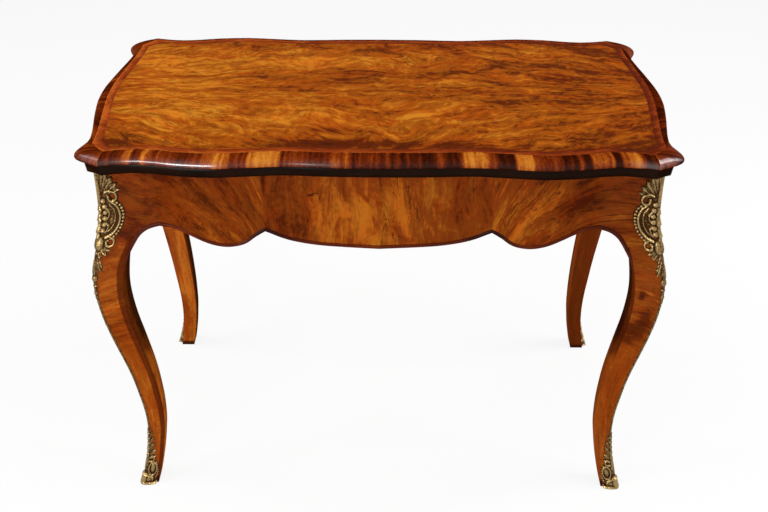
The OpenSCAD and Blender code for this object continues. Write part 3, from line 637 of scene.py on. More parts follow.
def crossband(name):
    """Crossbanded veneer: the piece's tone sets each tile, and lines across the edge run over it.

    The grain attribute's X is the distance along the edge and its Y the distance over the moulding.
    """
    material, tree, shader = tree_of(name)
    place = attribute(tree, "grain", "Vector")
    narrow = vector_node(tree, "MULTIPLY", pushed(tree, place, 60.0, 0.006), (1.0, 0.06, 1.0))
    streaks = noise(tree, narrow, 130.0, 2.0, 0.45)
    lines = noise(tree, narrow, 900.0, 2.0, 0.6)
    mottle = noise(tree, place, 240.0, 3.0, 0.6)
    tone = swung(tree, attribute(tree, "tone"), (streaks, 1.0), (lines, 0.25), (mottle, 0.5))
    ramp = add(tree, "ValToRGB", i0=tone)
    stops = ramp.color_ramp.elements
    for position, _ in EDGE_COLOURS[1:-1]:
        stops.new(position)
    for stop, (_, colour) in zip(stops, EDGE_COLOURS):
        stop.color = srgb(*colour)
    surface(tree, shader, ramp.outputs[0], lines, 0.08)
    polish(tree, shader, 1.0, 0.19, kept=attribute(tree, "shine"))
    put(tree, shader, Coat_IOR=1.9)
    return material


def cast_brass(name, high, low, roughness):
    """Gilt brass: bright on the high points, dark and dull in the hollows of the relief; that dark is painted
    shade as well as grime.
    """
    material, tree, shader = tree_of(name)
    place = own_place(tree)
    grime = noise(tree, place, 160.0, 3.0)
    chased = add(tree, "TexVoronoi", Vector=place, Scale=300.0).outputs["Distance"]
    # Painted shade with grime: the relief attribute darkens the hollows
    wear_and_shade = swung(tree, attribute(tree, "relief"), (grime, 0.5), (chased, -0.55))
    put(
        tree, shader, Base_Color=mixed(tree, spread(tree, wear_and_shade, 0.15, 0.95), srgb(*low), srgb(*high)),
        Roughness=spread(tree, wear_and_shade, 0.1, 0.9, roughness + 0.22, roughness),
        Metallic=spread(tree, wear_and_shade, 0.0, 0.35, 0.35, 1.0), Specular_IOR_Level=0.1,
        Normal=bumped(tree, chased, 0.6, 0.0008, invert=True),
    )
    return material


def metal(name, light, dark, roughness):
    """Plain worked metal with a mottled surface."""
    material, tree, shader = tree_of(name)
    mottle = noise(tree, own_place(tree), 120.0, 4.0)
    put(
        tree, shader, Base_Color=mixed(tree, spread(tree, mottle, 0.35, 0.65), srgb(*dark), srgb(*light)),
        Roughness=spread(tree, mottle, 0.3, 0.7, roughness + 0.15, roughness), Metallic=1.0,
        Normal=bumped(tree, mottle, 0.15, 0.0003),
    )
    return material


def cloth(name, light, dark):
    """Felted wool cloth: short crossed fibres over slow patches of wear."""
    material, tree, shader = tree_of(name)
    place = own_place(tree)
    nap = noise(tree, place, 1500.0, 3.0, 0.7)
    wear = noise(tree, place, 9.0, 3.0)
    level = math_node(
        tree, "ADD", math_node(tree, "MULTIPLY", nap, 0.6), math_node(tree, "MULTIPLY", wear, 0.2)
    )
    put(
        tree, shader, Base_Color=mixed(tree, spread(tree, level, 0.2, 0.6), srgb(*dark), srgb(*light)),
        Roughness=0.95, Specular_IOR_Level=0.15, Sheen_Weight=0.2, Sheen_Roughness=0.5,
        Normal=bumped(tree, nap, 0.5, 0.0005),
    )
    return material


leg_walnut = leg_veneer()
edge_veneer = crossband("crossbanded_walnut")
ear_veneer = crossband("ear_walnut")
gilt = cast_brass("gilt_brass", (156, 130, 86), (60, 33, 7), 0.3)
iron = metal("pivot_iron", (120, 114, 106), (70, 64, 58), 0.45)
hinge_brass = metal("hinge_brass", (206, 172, 100), (150, 116, 58), 0.3)
baize = cloth("green_baize", (54, 98, 58), (34, 70, 40))


# The top


def spots(x, y, rows):
    """Sum of soft spots: each row is a middle, two radii and how much lighter or darker it is."""
    return sum(amount * hump(x, x0, rx) * hump(y, y0, ry) for x0, y0, rx, ry, amount in rows)


def tile_tones(run, edges, tones):
    """Tone of the veneer tile at each distance along an edge, its joints blurred over 4 mm."""
    tones = np.asarray(tones)
    near = [np.clip(np.searchsorted(edges, run + step) - 1, 0, len(tones) - 1) for step in (-2, -0.7, 0.7, 2)]
    return np.mean([tones[k] for k in near], 0)


# Tiles along the front edge, from the left: where each starts across the width, and its tone
FRONT_TILES = [
    (-411, 0.3), (-387, 0.36), (-379, 0.7), (-366, 0.36), (-352, 0.74), (-342, 0.52), (-325, 0.44),
    (-296, 0.3), (-281, 0.36), (-262, 0.62), (-249, 0.8), (-221, 0.42), (-192, 0.92), (-146, 0.3),
    (-138, 0.44), (-106, 0.32), (-73, 0.56), (-39, 0.2), (-32, 0.38), (18, 0.26), (47, 0.18), (86, 0.46),
    (96, 0.22), (125, 0.88), (163, 0.5), (174, 0.12), (203, 0.9), (230, 0.5), (245, 0.42), (271, 0.14),
    (292, 0.34), (303, 0.14), (313, 0.68), (335, 0.56), (348, 0.12), (361, 0.76), (391, 0.2),
]
# Shortest and longest tile elsewhere
TILE_LENGTHS = (8, 34)


def front_tones(run, out):
    """Tones of the tiles that are read across the width."""
    return tile_tones(out[:, 0], *zip(*FRONT_TILES))


def side_tones(seed, low, high):
    """Tones, between two limits, of tiles of chance lengths from a fixed seed."""

    def tones(run, out):
        draw = np.random.default_rng(seed)
        edges = np.cumsum(draw.uniform(*TILE_LENGTHS, int(run[-1] / TILE_LENGTHS[0])))
        return tile_tones(run, np.concatenate([[0], edges]), draw.uniform(low, high, len(edges) + 1))

    return tones


def ear_tones(run, out):
    """Dark along the ear, with a pale line at each mitre."""
    return np.where(np.minimum(run, run[-1] - run) < 1.2, 0.8, 0.38 + 0.08 * np.sin(run / 9))


# How much polish is left along a moulding: places across the width, and the amount at each
FRONT_SHINE = (
    (-411, -385, -365, -325, -305, -245, -225, -135, -120, -65, -50, 365, 385, 411),
    (0.4, 0.4, 0.5, 0.5, 1.0, 1.0, 0.25, 0.2, 0.4, 0.4, 0.1, 0.1, 0.8, 0.8),
)
SIDE_SHINE = ((0,), (0.35,))
EAR_SHINE = ((0,), (0.9,))

# Section of the moulding, from its inner edge out over the nose and back under: angle, reach and height
NOSE_Z = UPPER_Z + NOSE_H
arc = np.linspace(0, np.pi / 2, 17)[1:]
under = np.linspace(0, np.pi / 2, 5)[1:]
moulding_turn = np.concatenate([[0, 0, 0], arc, np.pi / 2 + under, [np.pi]])
moulding_out = np.concatenate([[0, 0.045, 0.05], np.sin(arc), 1 - 0.06 * (1 - np.cos(under)), [0]])
moulding_z = np.concatenate(
    [[TABLE_H] * 3, NOSE_Z + (TABLE_H - NOSE_Z) * np.cos(arc), NOSE_Z - NOSE_H * np.sin(under), [UPPER_Z]]
)
moulding_girth = run_length(beside(moulding_out * EDGE_W, moulding_z))
# Painted shade: darker on its flat top and under its nose; and shiny round the nose
MOULDING_SHADE = 0.02 - 0.14 * np.cos(moulding_turn).clip(0, 1) - 0.26 * smoothstep(0.9, 1.8, moulding_turn)
NARROW_SHINE = hump(moulding_turn, 1.36, 0.35)
WIDE_SHINE = hump(moulding_turn, 1.2, 0.6)
MOULDING_STEP = 1.5
# Tone of the painted highlight line along the moulding's inner edge, and the shine that is left everywhere
LINE_HIGHLIGHT_TONE = 0.58
LEAST_SHINE = 0.01
# Painted light: how much paler the top's veneers get per millimetre towards the left, where the light falls
# from
FIELD_PAINTED_LIGHT = 0.00024
BAND_PAINTED_LIGHT = 0.0006
LINE_PAINTED_LIGHT = 0.0004
# Where each length of moulding begins in the veneer, so that no two show the same figure
STARTS = {"front": 0, "left": 1500, "right": 2300, "back": 5000}
EAR_START = 3000
EAR_LENGTH = 200


def moulding(name, node, out, inner, flip, material, tones, start, along_shine, round_shine=NARROW_SHINE):
    """Length of moulded edge: a quarter ellipse from the flat top to the nose, and a short round under it.

    A pale line along its inner edge is a painted highlight, and its tone changes from tile to tile along it,
    with painted shade on its flat top and under its nose. start is where its own stretch of the veneer
    begins.
    """
    run = run_length(out)
    steps = np.linspace(0, run[-1], int(run[-1] / MOULDING_STEP) + 2)
    out, inner = points_at(steps, run, out), points_at(steps, run, inner)
    grid = lifted(inner[:, None] + (out - inner)[:, None] * moulding_out[None, :, None], moulding_z)
    run = run_length(out)
    # Tile tones with painted shade across the section
    tone = tones(run, out)[:, None] + MOULDING_SHADE
    # Painted highlight: the pale line along the inner edge, paler towards the left
    tone[:, :2] = (LINE_HIGHLIGHT_TONE - LINE_PAINTED_LIGHT * flip[0] * inner[:, 0])[:, None]
    piece(
        name, [shell(grid * [*flip, 1])], "upper_leaf", material, [node], 40,
        grain=beside(run[:, None] + start, moulding_girth, 0), tone=tone,
        shine=LEAST_SHINE + np.interp(out[:, 0], *along_shine)[:, None] * round_shine,
    )


moulding(
    "front_moulding_veneer", "front_moulding", both_ways(wave_out), both_ways(wave_in), (1, -1), edge_veneer,
    front_tones, STARTS["front"], FRONT_SHINE,
)
# The left moulding's tiles are paler than the right's: painted light, falling from the left
for name, sign, tones in (("left", -1, side_tones(5, 0.2, 0.52)), ("right", 1, side_tones(9, 0.12, 0.3))):
    moulding(
        f"{name}_moulding_veneer", f"{name}_moulding", there_and_back(bow_out), there_and_back(bow_in),
        (sign, 1), edge_veneer, tones, STARTS[name], SIDE_SHINE,
    )
for index, (name, flip) in enumerate(CORNERS.items()):
    moulding(
        f"{name}_ear_block", f"{name}_ear", ear_out, ear_in, flip, ear_veneer, ear_tones,
        EAR_START + EAR_LENGTH * index, EAR_SHINE, WIDE_SHINE if flip[0] > 0 else NARROW_SHINE,
    )

# Clouds of the top's veneer: middle across and along, radii, and lighter or darker. The broad pale cloud at
# the left and the broad dark one over the right are painted light, falling from the left
TOP_SPOTS = [
    (-330, 60, 110, 110, 0.16), (-150, 120, 150, 50, 0.1), (-120, -60, 130, 50, 0.14),
    (330, 0, 140, 260, -0.1), (-215, 165, 28, 14, -0.34), (-15, 160, 45, 14, -0.34),
    (-200, 45, 80, 13, -0.26), (-60, 30, 60, 16, -0.24), (-225, 0, 70, 12, -0.24), (40, -20, 90, 16, -0.22),
    (70, 60, 60, 18, -0.2), (190, 100, 60, 16, -0.16), (160, 10, 70, 16, -0.14),
    (-90, -168, 110, 14, -0.62), (-60, -130, 60, 10, -0.3), (60, -175, 80, 12, -0.35),
    (-400, -165, 60, 26, -0.5), (405, -168, 50, 26, -0.22), (300, 110, 70, 18, -0.08),
    (370, 165, 50, 40, -0.14), (-390, 180, 50, 16, -0.3), (230, -150, 90, 14, 0.12),
    (-330, -100, 90, 24, 0.14), (-10, 90, 90, 20, 0.14), (130, -95, 90, 20, 0.1), (250, 160, 90, 20, 0.1),
    (10, -150, 70, 10, 0.12), (-300, 150, 90, 18, 0.1),
]
VENEER_LOW = TABLE_H - VENEER_T
# Innermost ring of the show veneer, near the long middle line of the top, as shares of its outline
MIDDLE_LINE = [0.55, 0.02]
GRAIN_SLOPE = 0.3
RIM_DARK = 0.22
# Veneer of the border band used up by each radian round the top
BAND_ROUND = 350

field_outline = shrunk(inner_outline, BAND_W)
share = np.linspace(0, 1, 40)[:, None, None]
rings = lifted(field_outline * (1 - share) + field_outline * MIDDLE_LINE * share, TABLE_H)
field = np.concatenate([lifted(field_outline, VENEER_LOW)[None], rings])
x, y = field[..., 0], field[..., 1]
# The veneer is matched in four quarters, so its grain slopes to the middle line away from the centre
slope = GRAIN_SLOPE * np.hypot(x, 40) * np.tanh(y / 80)
rim_dark = RIM_DARK * np.exp(-13 * np.linspace(0, 1, len(field)))[:, None]
# Painted light: the field's tone gets paler towards the left
piece(
    "top_field_veneer", [shell(field)], "upper_leaf", top_walnut, ["top_veneer"], slot="burr_walnut",
    grain=field + slope[..., None] * [0, 1, 0],
    tone=spots(x, y, TOP_SPOTS) - x * FIELD_PAINTED_LIGHT + 0.005 - rim_dark,
)
band_rows = [(field_outline, TABLE_H), (inner_outline, TABLE_H)]
band_rows += [(inner_outline, VENEER_LOW), (field_outline, VENEER_LOW)]
band = shell(stacked(band_rows), caps=False)
x, y = band[0][:, 0], band[0][:, 1]
turn = np.arctan2(y / HALF_D, x / HALF_W)
rim = np.hypot(x / HALF_W, y / HALF_D) * HALF_D
# Painted light: the band's tone gets paler towards the left
piece(
    "top_border_band", [band], "upper_leaf", band_walnut, ["border_band"],
    grain=beside(turn * BAND_ROUND, rim, 0),
    tone=np.tile([-0.4, 0.12, 0.12, -0.4], len(inner_outline)) - x * BAND_PAINTED_LIGHT,
)

ARRIS = 0.8
# How far the foot of the lower leaf is drawn in under an ear, and the share of that at its top
EAR_TAPER = 20.0
TOP_TAPER = 0.6


def edge_ring(side, out, inner, drawn=0.0):
    """Black square edge with softened arrises, along one length of the lower leaf.

    drawn is how far its foot is drawn in.
    """
    top = TOP_TAPER * drawn
    steps = ((drawn + ARRIS, 0), (drawn, ARRIS), (top, LEAF_T - ARRIS), (top + ARRIS, LEAF_T))
    rows = [(inner, 0), *((step_in(out, inner, distance), up) for distance, up in steps), (inner, LEAF_T)]
    grid = stacked([(line, LOWER_Z + up) for line, up in rows])
    piece(f"lower_{side}_edge_strip", [shell(grid)], "turning_top", ebonised, [f"lower_{side}_edge"], 60)


lower_wave = step_in(wave_out, wave_in, LOWER_SET_BACK)
lower_ear = step_in(ear_out, ear_in, LOWER_SET_BACK)
lower_bow = step_in(bow_out, bow_in, LOWER_SET_BACK)
edge_ring("front", both_ways(lower_wave) * [1, -1], both_ways(wave_in) * [1, -1])
taper = EAR_TAPER * np.sin(np.pi * np.linspace(0, 1, len(ear_out))) ** 0.7
taper = np.concatenate([taper, np.zeros(len(bow_in) - 1)])
taper = np.concatenate([taper, taper[-2::-1]])
lower_side = there_and_back(np.vstack([lower_ear[:-1], lower_bow]))
lower_side_in = there_and_back(np.vstack([ear_in[:-1], bow_in]))
for side, sign in (("left", -1), ("right", 1)):
    edge_ring(side, lower_side * [sign, 1], lower_side_in * [sign, 1], taper)


def merged(node):
    """A solid's own mesh with its loose triangles joined, in millimetres."""
    source = nodes[node].data
    points = np.zeros(len(source.vertices) * 3)
    source.vertices.foreach_get("co", points)
    places, index = np.unique(np.round(points.reshape(-1, 3), 6), axis=0, return_inverse=True)
    corners = np.zeros(len(source.loops), int)
    source.loops.foreach_get("vertex_index", corners)
    triangles = index.ravel()[corners].reshape(-1, 3)
    whole = (triangles != np.roll(triangles, 1, axis=1)).all(1)
    return places / MM, triangles[whole].tolist()


back = merged("back_moulding")
piece(
    "back_moulding_veneer", [back], "upper_leaf", edge_veneer, ["back_moulding"], 25,
    grain=back[0][:, [0, 2, 2]] * [1, 1, 0] + [STARTS["back"], 0, 0], tone=np.full(len(back[0]), 0.36),
)
piece("lower_back_edge_strip", [merged("lower_back_edge")], "turning_top", ebonised, ["lower_back_edge"], 30)


# Frame: corner pieces, rails and beads

CUSP_X = CUSP[0] * POST_IN_X
BOARD_Z = 620
# Where each piece of the frame begins in its board, so that no two show the same figure
FAN_START = 1350
SIDE_START = 900
SIDE_LENGTH = 2000
LEG_START = 2000
LEG_LENGTH = 700.0
BACK_DEEP = 100.0
# Way that the grain runs on the long faces: place across the width, and degrees up from level
FAN = [
    (-HALF_W, -6), (-340, -26), (-280, -44), (-CUSP_X, -72), (CUSP_X, 74), (230, 60), (280, 42), (340, 14),
    (HALF_W, -6),
]
FAN_X = np.linspace(-HALF_W, HALF_W, 400)
FAN_RISE = np.cumsum(np.tan(np.radians(np.interp(FAN_X, *zip(*FAN))))) * (FAN_X[1] - FAN_X[0])
# Clouds of the long rails, the last two a painted shadow under the top, and clouds and a knot on the front
# legs: place across, height, radii, and tone
APRON_SPOTS = [
    (-365, 640, 60, 80, -0.22), (-250, 630, 90, 90, -0.12), (-140, 620, 40, 80, -0.22),
    (-72, 620, 26, 90, 0.24), (-22, 605, 30, 90, 0.44), (30, 620, 16, 70, 0.2), (74, 610, 34, 90, 0.2),
    (150, 620, 30, 80, -0.18), (224, 610, 40, 60, 0.34), (305, 640, 30, 60, -0.24),
    (350, 640, 60, 80, -0.22), (-300, 690, 160, 20, -0.1), (300, 690, 160, 20, -0.1),
]
LEG_SPOTS = [
    (438, 424, 13, 26, -0.7), (418, 388, 16, 22, -0.7), (425, 478, 5, 7, -1.0), (440, 250, 14, 30, 0.1),
    (-440, 330, 20, 60, -0.12),
]
# Columns across an outer face of a corner piece, those of the short face, and how many lie on the inner side
FACE = 28
SHORT_FACE = slice(FACE + 3, 2 * FACE + 6)
INNER_COLUMNS = 8
# Painted shade of the last columns, round the inner faces: on the back legs, left then right
LEFT_BACK_SHADE = (0, 0, 0.02, 0, 0, 0, 0.02, 0.4, 0.5, 1, 1)
RIGHT_BACK_SHADE = (0.2, 1, 1, 1, 1, 1, 0.9, 0.5, 0.5, 0.5, 0.6)


def board_of_front(grid, back):
    """Place in the boards of a long face: upright grain in the middle, and a fan of grain at each end.

    A line of grain at an end climbs as the sum of the fan's slopes along the face.
    """
    x, z = grid[..., 0], grid[..., 2]
    side = np.sign(x) * (np.abs(x) > CUSP_X + 0.05)
    along = side * x * 0.8 + (z - BOARD_Z) * 0.6
    across = 0.7 * (z - BOARD_Z - np.interp(x, FAN_X, FAN_RISE))
    fan = beside(along + FAN_START * side, across, 0)
    upright = beside(z - BOARD_Z + 0.1 * x, -x, 0)
    return np.where((side == 0)[..., None], upright, fan) + [0, 0, BACK_DEEP * back]


def board_of_side(grid, right):
    """Place in the board of a short face, with the grain level."""
    return beside(grid[..., 1] + SIDE_START + SIDE_LENGTH * right, grid[..., 2], 0)


def rounded(corner, before, after, radius, steps=3):
    """Points that round a corner of a section between its two sides; the radius is a number, or one a row."""

    def toward(side):
        return (side - corner) / np.maximum(np.linalg.norm(side - corner, axis=1)[:, None], 1e-9)

    t = np.linspace(0, 1, steps)[:, None, None]
    return [*(corner + np.reshape(radius, (-1, 1)) * ((1 - t) ** 2 * toward(before) + t**2 * toward(after)))]


def corner_grid():
    """Grid of one corner, seen as the one at +X and +Y: leg, both brackets and the ends of the rails.

    Each ring runs along the long face to the arris, along the short face, and back round the inner faces. The
    rings are closer together round the arch, and below it the edges of the faces are eased. Gives the points,
    the heights, how dark each column is stained and painted in shade, and which columns are on the inner
    side.
    """
    heights = [np.linspace(0, ARCH_Z - 74, 60), arch[:, 1], np.linspace(ARCH_Z, RAIL_Z, 14)]
    z = np.unique(np.concatenate(heights).round(3))
    out = leg_out(z)
    inner = leg_inner(z)
    x_in = np.where(z < arch[-1, 1], inner, np.minimum(np.interp(z, arch[::-1, 1], arch[::-1, 0]), inner))
    y_in = x_in - SKEW
    share = np.linspace(0, 1, FACE)
    x_line = x_in[:, None] + (out - x_in)[:, None] * share
    y_line = y_in[:, None] + (out - SKEW - y_in)[:, None] * share
    front = beside(x_line, front_depth(x_line, z[:, None]))
    side = beside(side_depth(y_line, z[:, None]), y_line)
    arris = beside(out, out - SKEW)
    core = beside(inner, inner - SKEW)
    thick = np.minimum(BRACKET_T, (out - inner) * 0.8)
    front_back = front[:, 0] - beside(0, thick)
    side_back = side[:, 0] - beside(thick, 0)
    ease = np.where(z < ARCH_Z - 0.5, FACE_EASE_R, 0.01)
    ring = rounded(front[:, 0], front_back, front[:, 1], ease) + [front[:, k] for k in range(1, FACE - 1)]
    ring += rounded(arris, front[:, -2], side[:, -2], LEG_ARRIS_R, 5)
    ring += [side[:, k] for k in range(FACE - 2, 0, -1)]
    ring += rounded(side[:, 0], side[:, 1], side_back, ease)
    near_core = beside(0.22 * side_back[:, 0] + 0.78 * core[:, 0], core[:, 1])
    ring += [side_back, beside(side_back[:, 0], core[:, 1]), near_core, core]
    # Dark stain with painted shade: darkest on the inner faces, and darkened at the eased corner by the front
    # face
    stain = [0.45, 0.3] + [0.0] * (len(ring) - 2) + [1.0, 0.9, 0.8, 0.45]
    ring += [core + [0, 0.3], beside(core[:, 0], front_back[:, 1]), front_back]
    ring.append(front[:, 0] - beside(0, thick * 0.4))
    inner_side = np.arange(len(ring)) >= len(ring) - INNER_COLUMNS
    return lifted(np.stack(ring, 1), z[:, None]), z, np.array(stain), inner_side


corner, levels, stain, inner_side = corner_grid()
middle = ((leg_out(levels) + leg_inner(levels)) / 2)[:, None]
climb = run_length(beside(middle[:, 0], levels))[:, None]
grain = beside(climb, corner[..., 0] - middle, corner[..., 1] - middle + SKEW)
# Painted shade on the inner faces is lighter low on the front legs, where they turn up to the light, a band
# of painted shade runs by their inner edge, mostly on the left legs, and all feet are dark
stain_share = 0.26 + 0.74 * smoothstep(0.41, 0.5, levels / TABLE_H)[:, None]
share = np.clip((np.arange(corner.shape[1]) - 2) / (FACE - 1), 0, None)
inner_shade_band = (1 - smoothstep(0.2, 0.27, share)) * (1 - smoothstep(ARCH_Z - 40, ARCH_Z - 5, levels))[:, None]
foot_dark = 0.95 * (1 - smoothstep(8, 18, levels))[:, None]
back_shadow = 0.34 + 0.24 * smoothstep(380, 500, levels)[:, None]
for index, (label, (sx, sy)) in enumerate(CORNERS.items()):
    right, back = sx > 0, sy > 0
    grid = corner * [sx, sy, 1]
    board = board_of_front(grid, back)
    board[:, SHORT_FACE] = board_of_side(grid[:, SHORT_FACE], right)
    own = stain * np.where(back, 1.0, stain_share)
    # Painted shade on the back legs' inner faces, and on the back right leg a painted shadow under the top
    # that is darker higher up
    if back:
        own[:, -len(LEFT_BACK_SHADE):] = back_shadow * RIGHT_BACK_SHADE if right else LEFT_BACK_SHADE
    own = np.maximum(np.maximum(own, inner_shade_band * (0.06 if right else 0.45)), foot_dark)
    # Painted light on the inner faces: their tone is raised most on the left legs, a little on the front
    # right leg, and lowered on the back right leg
    inner_lift = 0.3 * inner_side * ((-0.2 if back else 0.2) if right else 1.0)
    brackets = ["leg_brackets"] if index == 0 else []
    piece(
        f"{label}_leg_shape", [shell(grid)], "frame", leg_walnut, [f"{label}_leg", *brackets],
        grain=grain + [LEG_START + LEG_LENGTH * index, 0, 0], board=board, stain=own,
        lift=inner_lift + spots(grid[..., 0] * (not back), grid[..., 2], LEG_SPOTS),
        tone=spots(grid[..., 0], grid[..., 2], APRON_SPOTS),
    )


def rail_grid(low_line, depth, thick, joint=()):
    """Rail from end to end: columns along it, rows up its face, over its top edge and down its back.

    joint is where a further column keeps a joint of the veneer sharp.
    """
    x = np.sort(np.concatenate([low_line[:, 0], joint]))
    x, low = both_ways(beside(x, np.interp(x, *low_line.T))).T
    z = low[:, None] + (RAIL_Z - low)[:, None] * np.linspace(0, 1, 12)
    face = beside(x[:, None], depth(np.abs(x)[:, None], z), z)
    back = face[:, ::-1].copy()
    back[..., 1] = thick
    return np.concatenate([face, back], 1)


front_grid = rail_grid(front_low, front_depth, HALF_D - RAIL_SET_Y, [CUSP_X + 0.12])
side_grid = rail_grid(side_low, side_depth, HALF_W - RAIL_SET_X)[..., [1, 0, 2]]
LONG_SIDES = ("front", "back")
SIDES = {"front": (1, -1, 1), "back": (1, 1, 1), "left": (-1, 1, 1), "right": (1, 1, 1)}
for label, flip in SIDES.items():
    if label in LONG_SIDES:
        grid = front_grid * flip
        board = board_of_front(grid, label == "back")
        tone = spots(grid[..., 0], grid[..., 2], APRON_SPOTS)
    else:
        grid = side_grid * flip
        board = board_of_side(grid, label == "right")
        tone = np.full(grid.shape[:2], -0.1)
    piece(
        f"{label}_rail_veneer", [shell(grid)], "frame", apron_walnut, [f"{label}_rail"], 50, grain=board,
        tone=tone,
    )


def bead_grid(low_line, depth, shift):
    """Half-round bead on the lower edge from one leg to the other, and its place in the board.

    Its section stands square to the edge, from the edge up the face, and it fades out over its last 45 mm.
    """
    flat = both_ways(np.vstack([low_line, arch[1:] - [shift, 0]]))
    face = depth(np.abs(flat[:, 0]), flat[:, 1])
    way = np.gradient(flat, axis=0)
    way /= np.linalg.norm(way, axis=1)[:, None]
    up = beside(-way[:, 1], way[:, 0])
    angle = np.linspace(0, np.pi, 7)
    run = run_length(lifted(flat, face))[:, None]
    fade = 0.15 + 0.85 * smoothstep(0, 45, np.minimum(run, run[-1] - run))
    rise = fade * np.concatenate([BEAD_HIGH * (1 - np.cos(angle)) / 2, [BEAD_HIGH, 0]])
    stand = fade * np.concatenate([BEAD_PROUD * np.sin(angle) ** 0.7, [-3, -3]])
    x, z = (flat[:, None, k] + up[:, None, k] * rise for k in (0, 1))
    return beside(x, face[:, None] + stand, z), beside(run, rise, 0)


front_bead = bead_grid(front_low, front_depth, 0)
side_bead = bead_grid(side_low, side_depth, SKEW)
# Painted shadow: the bead is darker at the cusps of the long rails, and at the same places on the right rail
for label, flip in SIDES.items():
    (grid, place), axes = (front_bead, [0, 1, 2]) if label in LONG_SIDES else (side_bead, [1, 0, 2])
    piece(
        f"{label}_edge_bead", [shell(grid[..., axes] * flip)], "frame", bead_walnut, [f"{label}_bead"], 60,
        grain=place, tone=-0.8 * (flip[0] > 0) * hump(np.abs(grid[..., 0]), CUSP_X, 32),
    )


# Gilt mounts: w is the distance from the leg's arris over a face, v the distance along the leg


def strand(w, v, points, radii, height):
    """Rounded rod of relief along a smooth line: its section is a half ellipse, and its radius runs evenly.

    The gap is the distance to the nearest point of each short straight of the line.
    """
    line = smooth_curve(points, 7)
    start = line[:-1]
    way = np.diff(line, axis=0)
    across, up = w[..., None] - start[:, 0], v[..., None] - start[:, 1]
    at = np.clip((across * way[:, 0] + up * way[:, 1]) / (way**2).sum(1), 0, 1)
    gap = np.hypot(across - at * way[:, 0], up - at * way[:, 1])
    radius = radii[0] + (radii[1] - radii[0]) * (np.arange(len(way)) + at) / len(way)
    return (height * np.sqrt(np.clip(1 - (gap / radius) ** 2, 0, None))).max(-1)


def dome(w, v, middle, radii, height):
    """Half ellipsoid of relief."""
    gap = ((w - middle[0]) / radii[0]) ** 2 + ((v - middle[1]) / radii[1]) ** 2
    return height * np.sqrt(np.clip(1 - gap, 0, None))


def leaf(w, v, root, tip, width, height):
    """Acanthus leaf: widest past its middle, with a lobed edge, a hollow midrib and a fan of ribs."""
    way = np.subtract(tip, root)
    length = np.hypot(*way)
    way = way / length
    s = ((w - root[0]) * way[0] + (v - root[1]) * way[1]) / length
    t = (v - root[1]) * way[0] - (w - root[0]) * way[1]
    inside = np.clip(s, 0.001, 0.999)
    edge = width * np.sin(np.pi * inside**1.3) ** 0.8 * (1 + 0.16 * np.sin(inside * 20))
    t = t / np.maximum(edge, 0.01)
    ribs = 0.78 + 0.22 * np.cos(t * 7 - np.abs(t) * inside * 5)
    body = height * np.sqrt(np.clip(1 - t**2, 0, None)) * ribs * (0.45 + 0.55 * inside)
    return np.where((s > 0) & (s < 1), body, 0)


def bead_row(w, v, points, every, radius, height):
    """Small round beads, evenly spaced along a smooth line."""
    line = smooth_curve(points, 10)
    run = run_length(line)
    at = np.linspace(0, run[-1], int(run[-1] / every) + 1)
    return np.max([dome(w, v, m, (radius, radius), height) for m in points_at(at, run, line)], axis=0)


# Each mount: distances along the leg and how far the web reaches there, its height, and the parts by kind
KNEE_MOUNT = (
    (
        (0, 12, 30, 42, 52, 64, 86, 108, 122, 136, 150, 160, 182, 200, 232),
        (7, 18, 26, 13, 16, 29, 35, 29, 18, 17, 10, 5, 6, 2.5, 2),
    ),
    0.7,
    {
        leaf: [
            ((1, 44), (2.5, 0.5), 5, 3.4), ((3, 46), (8, 3), 5.5, 3.8), ((4, 46), (15, 9), 6, 4.2),
            ((6, 48), (23, 17), 6.5, 4.4), ((8, 49), (30, 27), 6, 4), ((9, 50), (33, 38), 5, 3.6),
            ((0, 62), (2, 78), 4.5, 5.4), ((0, 76), (2, 96), 4.5, 5.8), ((0, 94), (1, 114), 4.5, 5.4),
            ((5, 140), (23, 143), 4, 3), ((4, 140), (17, 151), 5, 3.4), ((2, 142), (9, 158), 4.5, 3.2),
            ((2, 152), (12, 180), 5, 3.4), ((0, 154), (2, 186), 4, 3.4),
        ],
        strand: [
            ([(9, 45), (15, 42), (24, 44), (27, 52), (22, 59), (15, 57), (14, 51)], (2, 2.6), 4.6),
            ([(18, 60), (26, 67), (30.5, 78), (31.5, 89), (29, 102), (22, 114), (12, 121)], (2.2, 2.8), 5),
            ([(15, 66), (21, 74), (23.5, 84), (23, 96), (18, 107), (10, 114)], (1.3, 1.5), 2.8),
            ([(0, 8), (0, 60), (0, 122)], (2.6, 3.4), 3.6),
            ([(9, 72), (14, 79), (13, 88), (8, 92)], (2, 1.6), 3.6),
            ([(9, 97), (14, 102), (12, 110), (6, 113)], (2, 1.6), 3.6),
            ([(11, 122), (19, 120), (26, 126), (24, 134), (16, 135), (14, 129)], (2, 2.2), 4),
            ([(0, 184), (0, 210), (0, 234)], (3.2, 2.6), 2.4),
        ],
        bead_row: [
            ([(22, 59), (31, 66), (35.5, 78), (36, 90), (33, 104), (26, 117), (16, 126)], 5.4, 3.0, 3.8),
            ([(5, 60), (7, 72), (8, 84), (7.5, 97), (6, 110)], 9.5, 5, 4.6),
        ],
        dome: [
            ((4, 132), (7, 12), 5), ((1, 192), (4.5, 7), 4.2), ((0, 206), (4.6, 2.2), 3.4),
            ((0, 220), (4, 4.5), 3.4),
        ],
    },
)
oval = np.linspace(0, 2 * np.pi, 13)
oval = beside(11 + 7.5 * np.cos(oval), 33 + 14 * np.sin(oval))
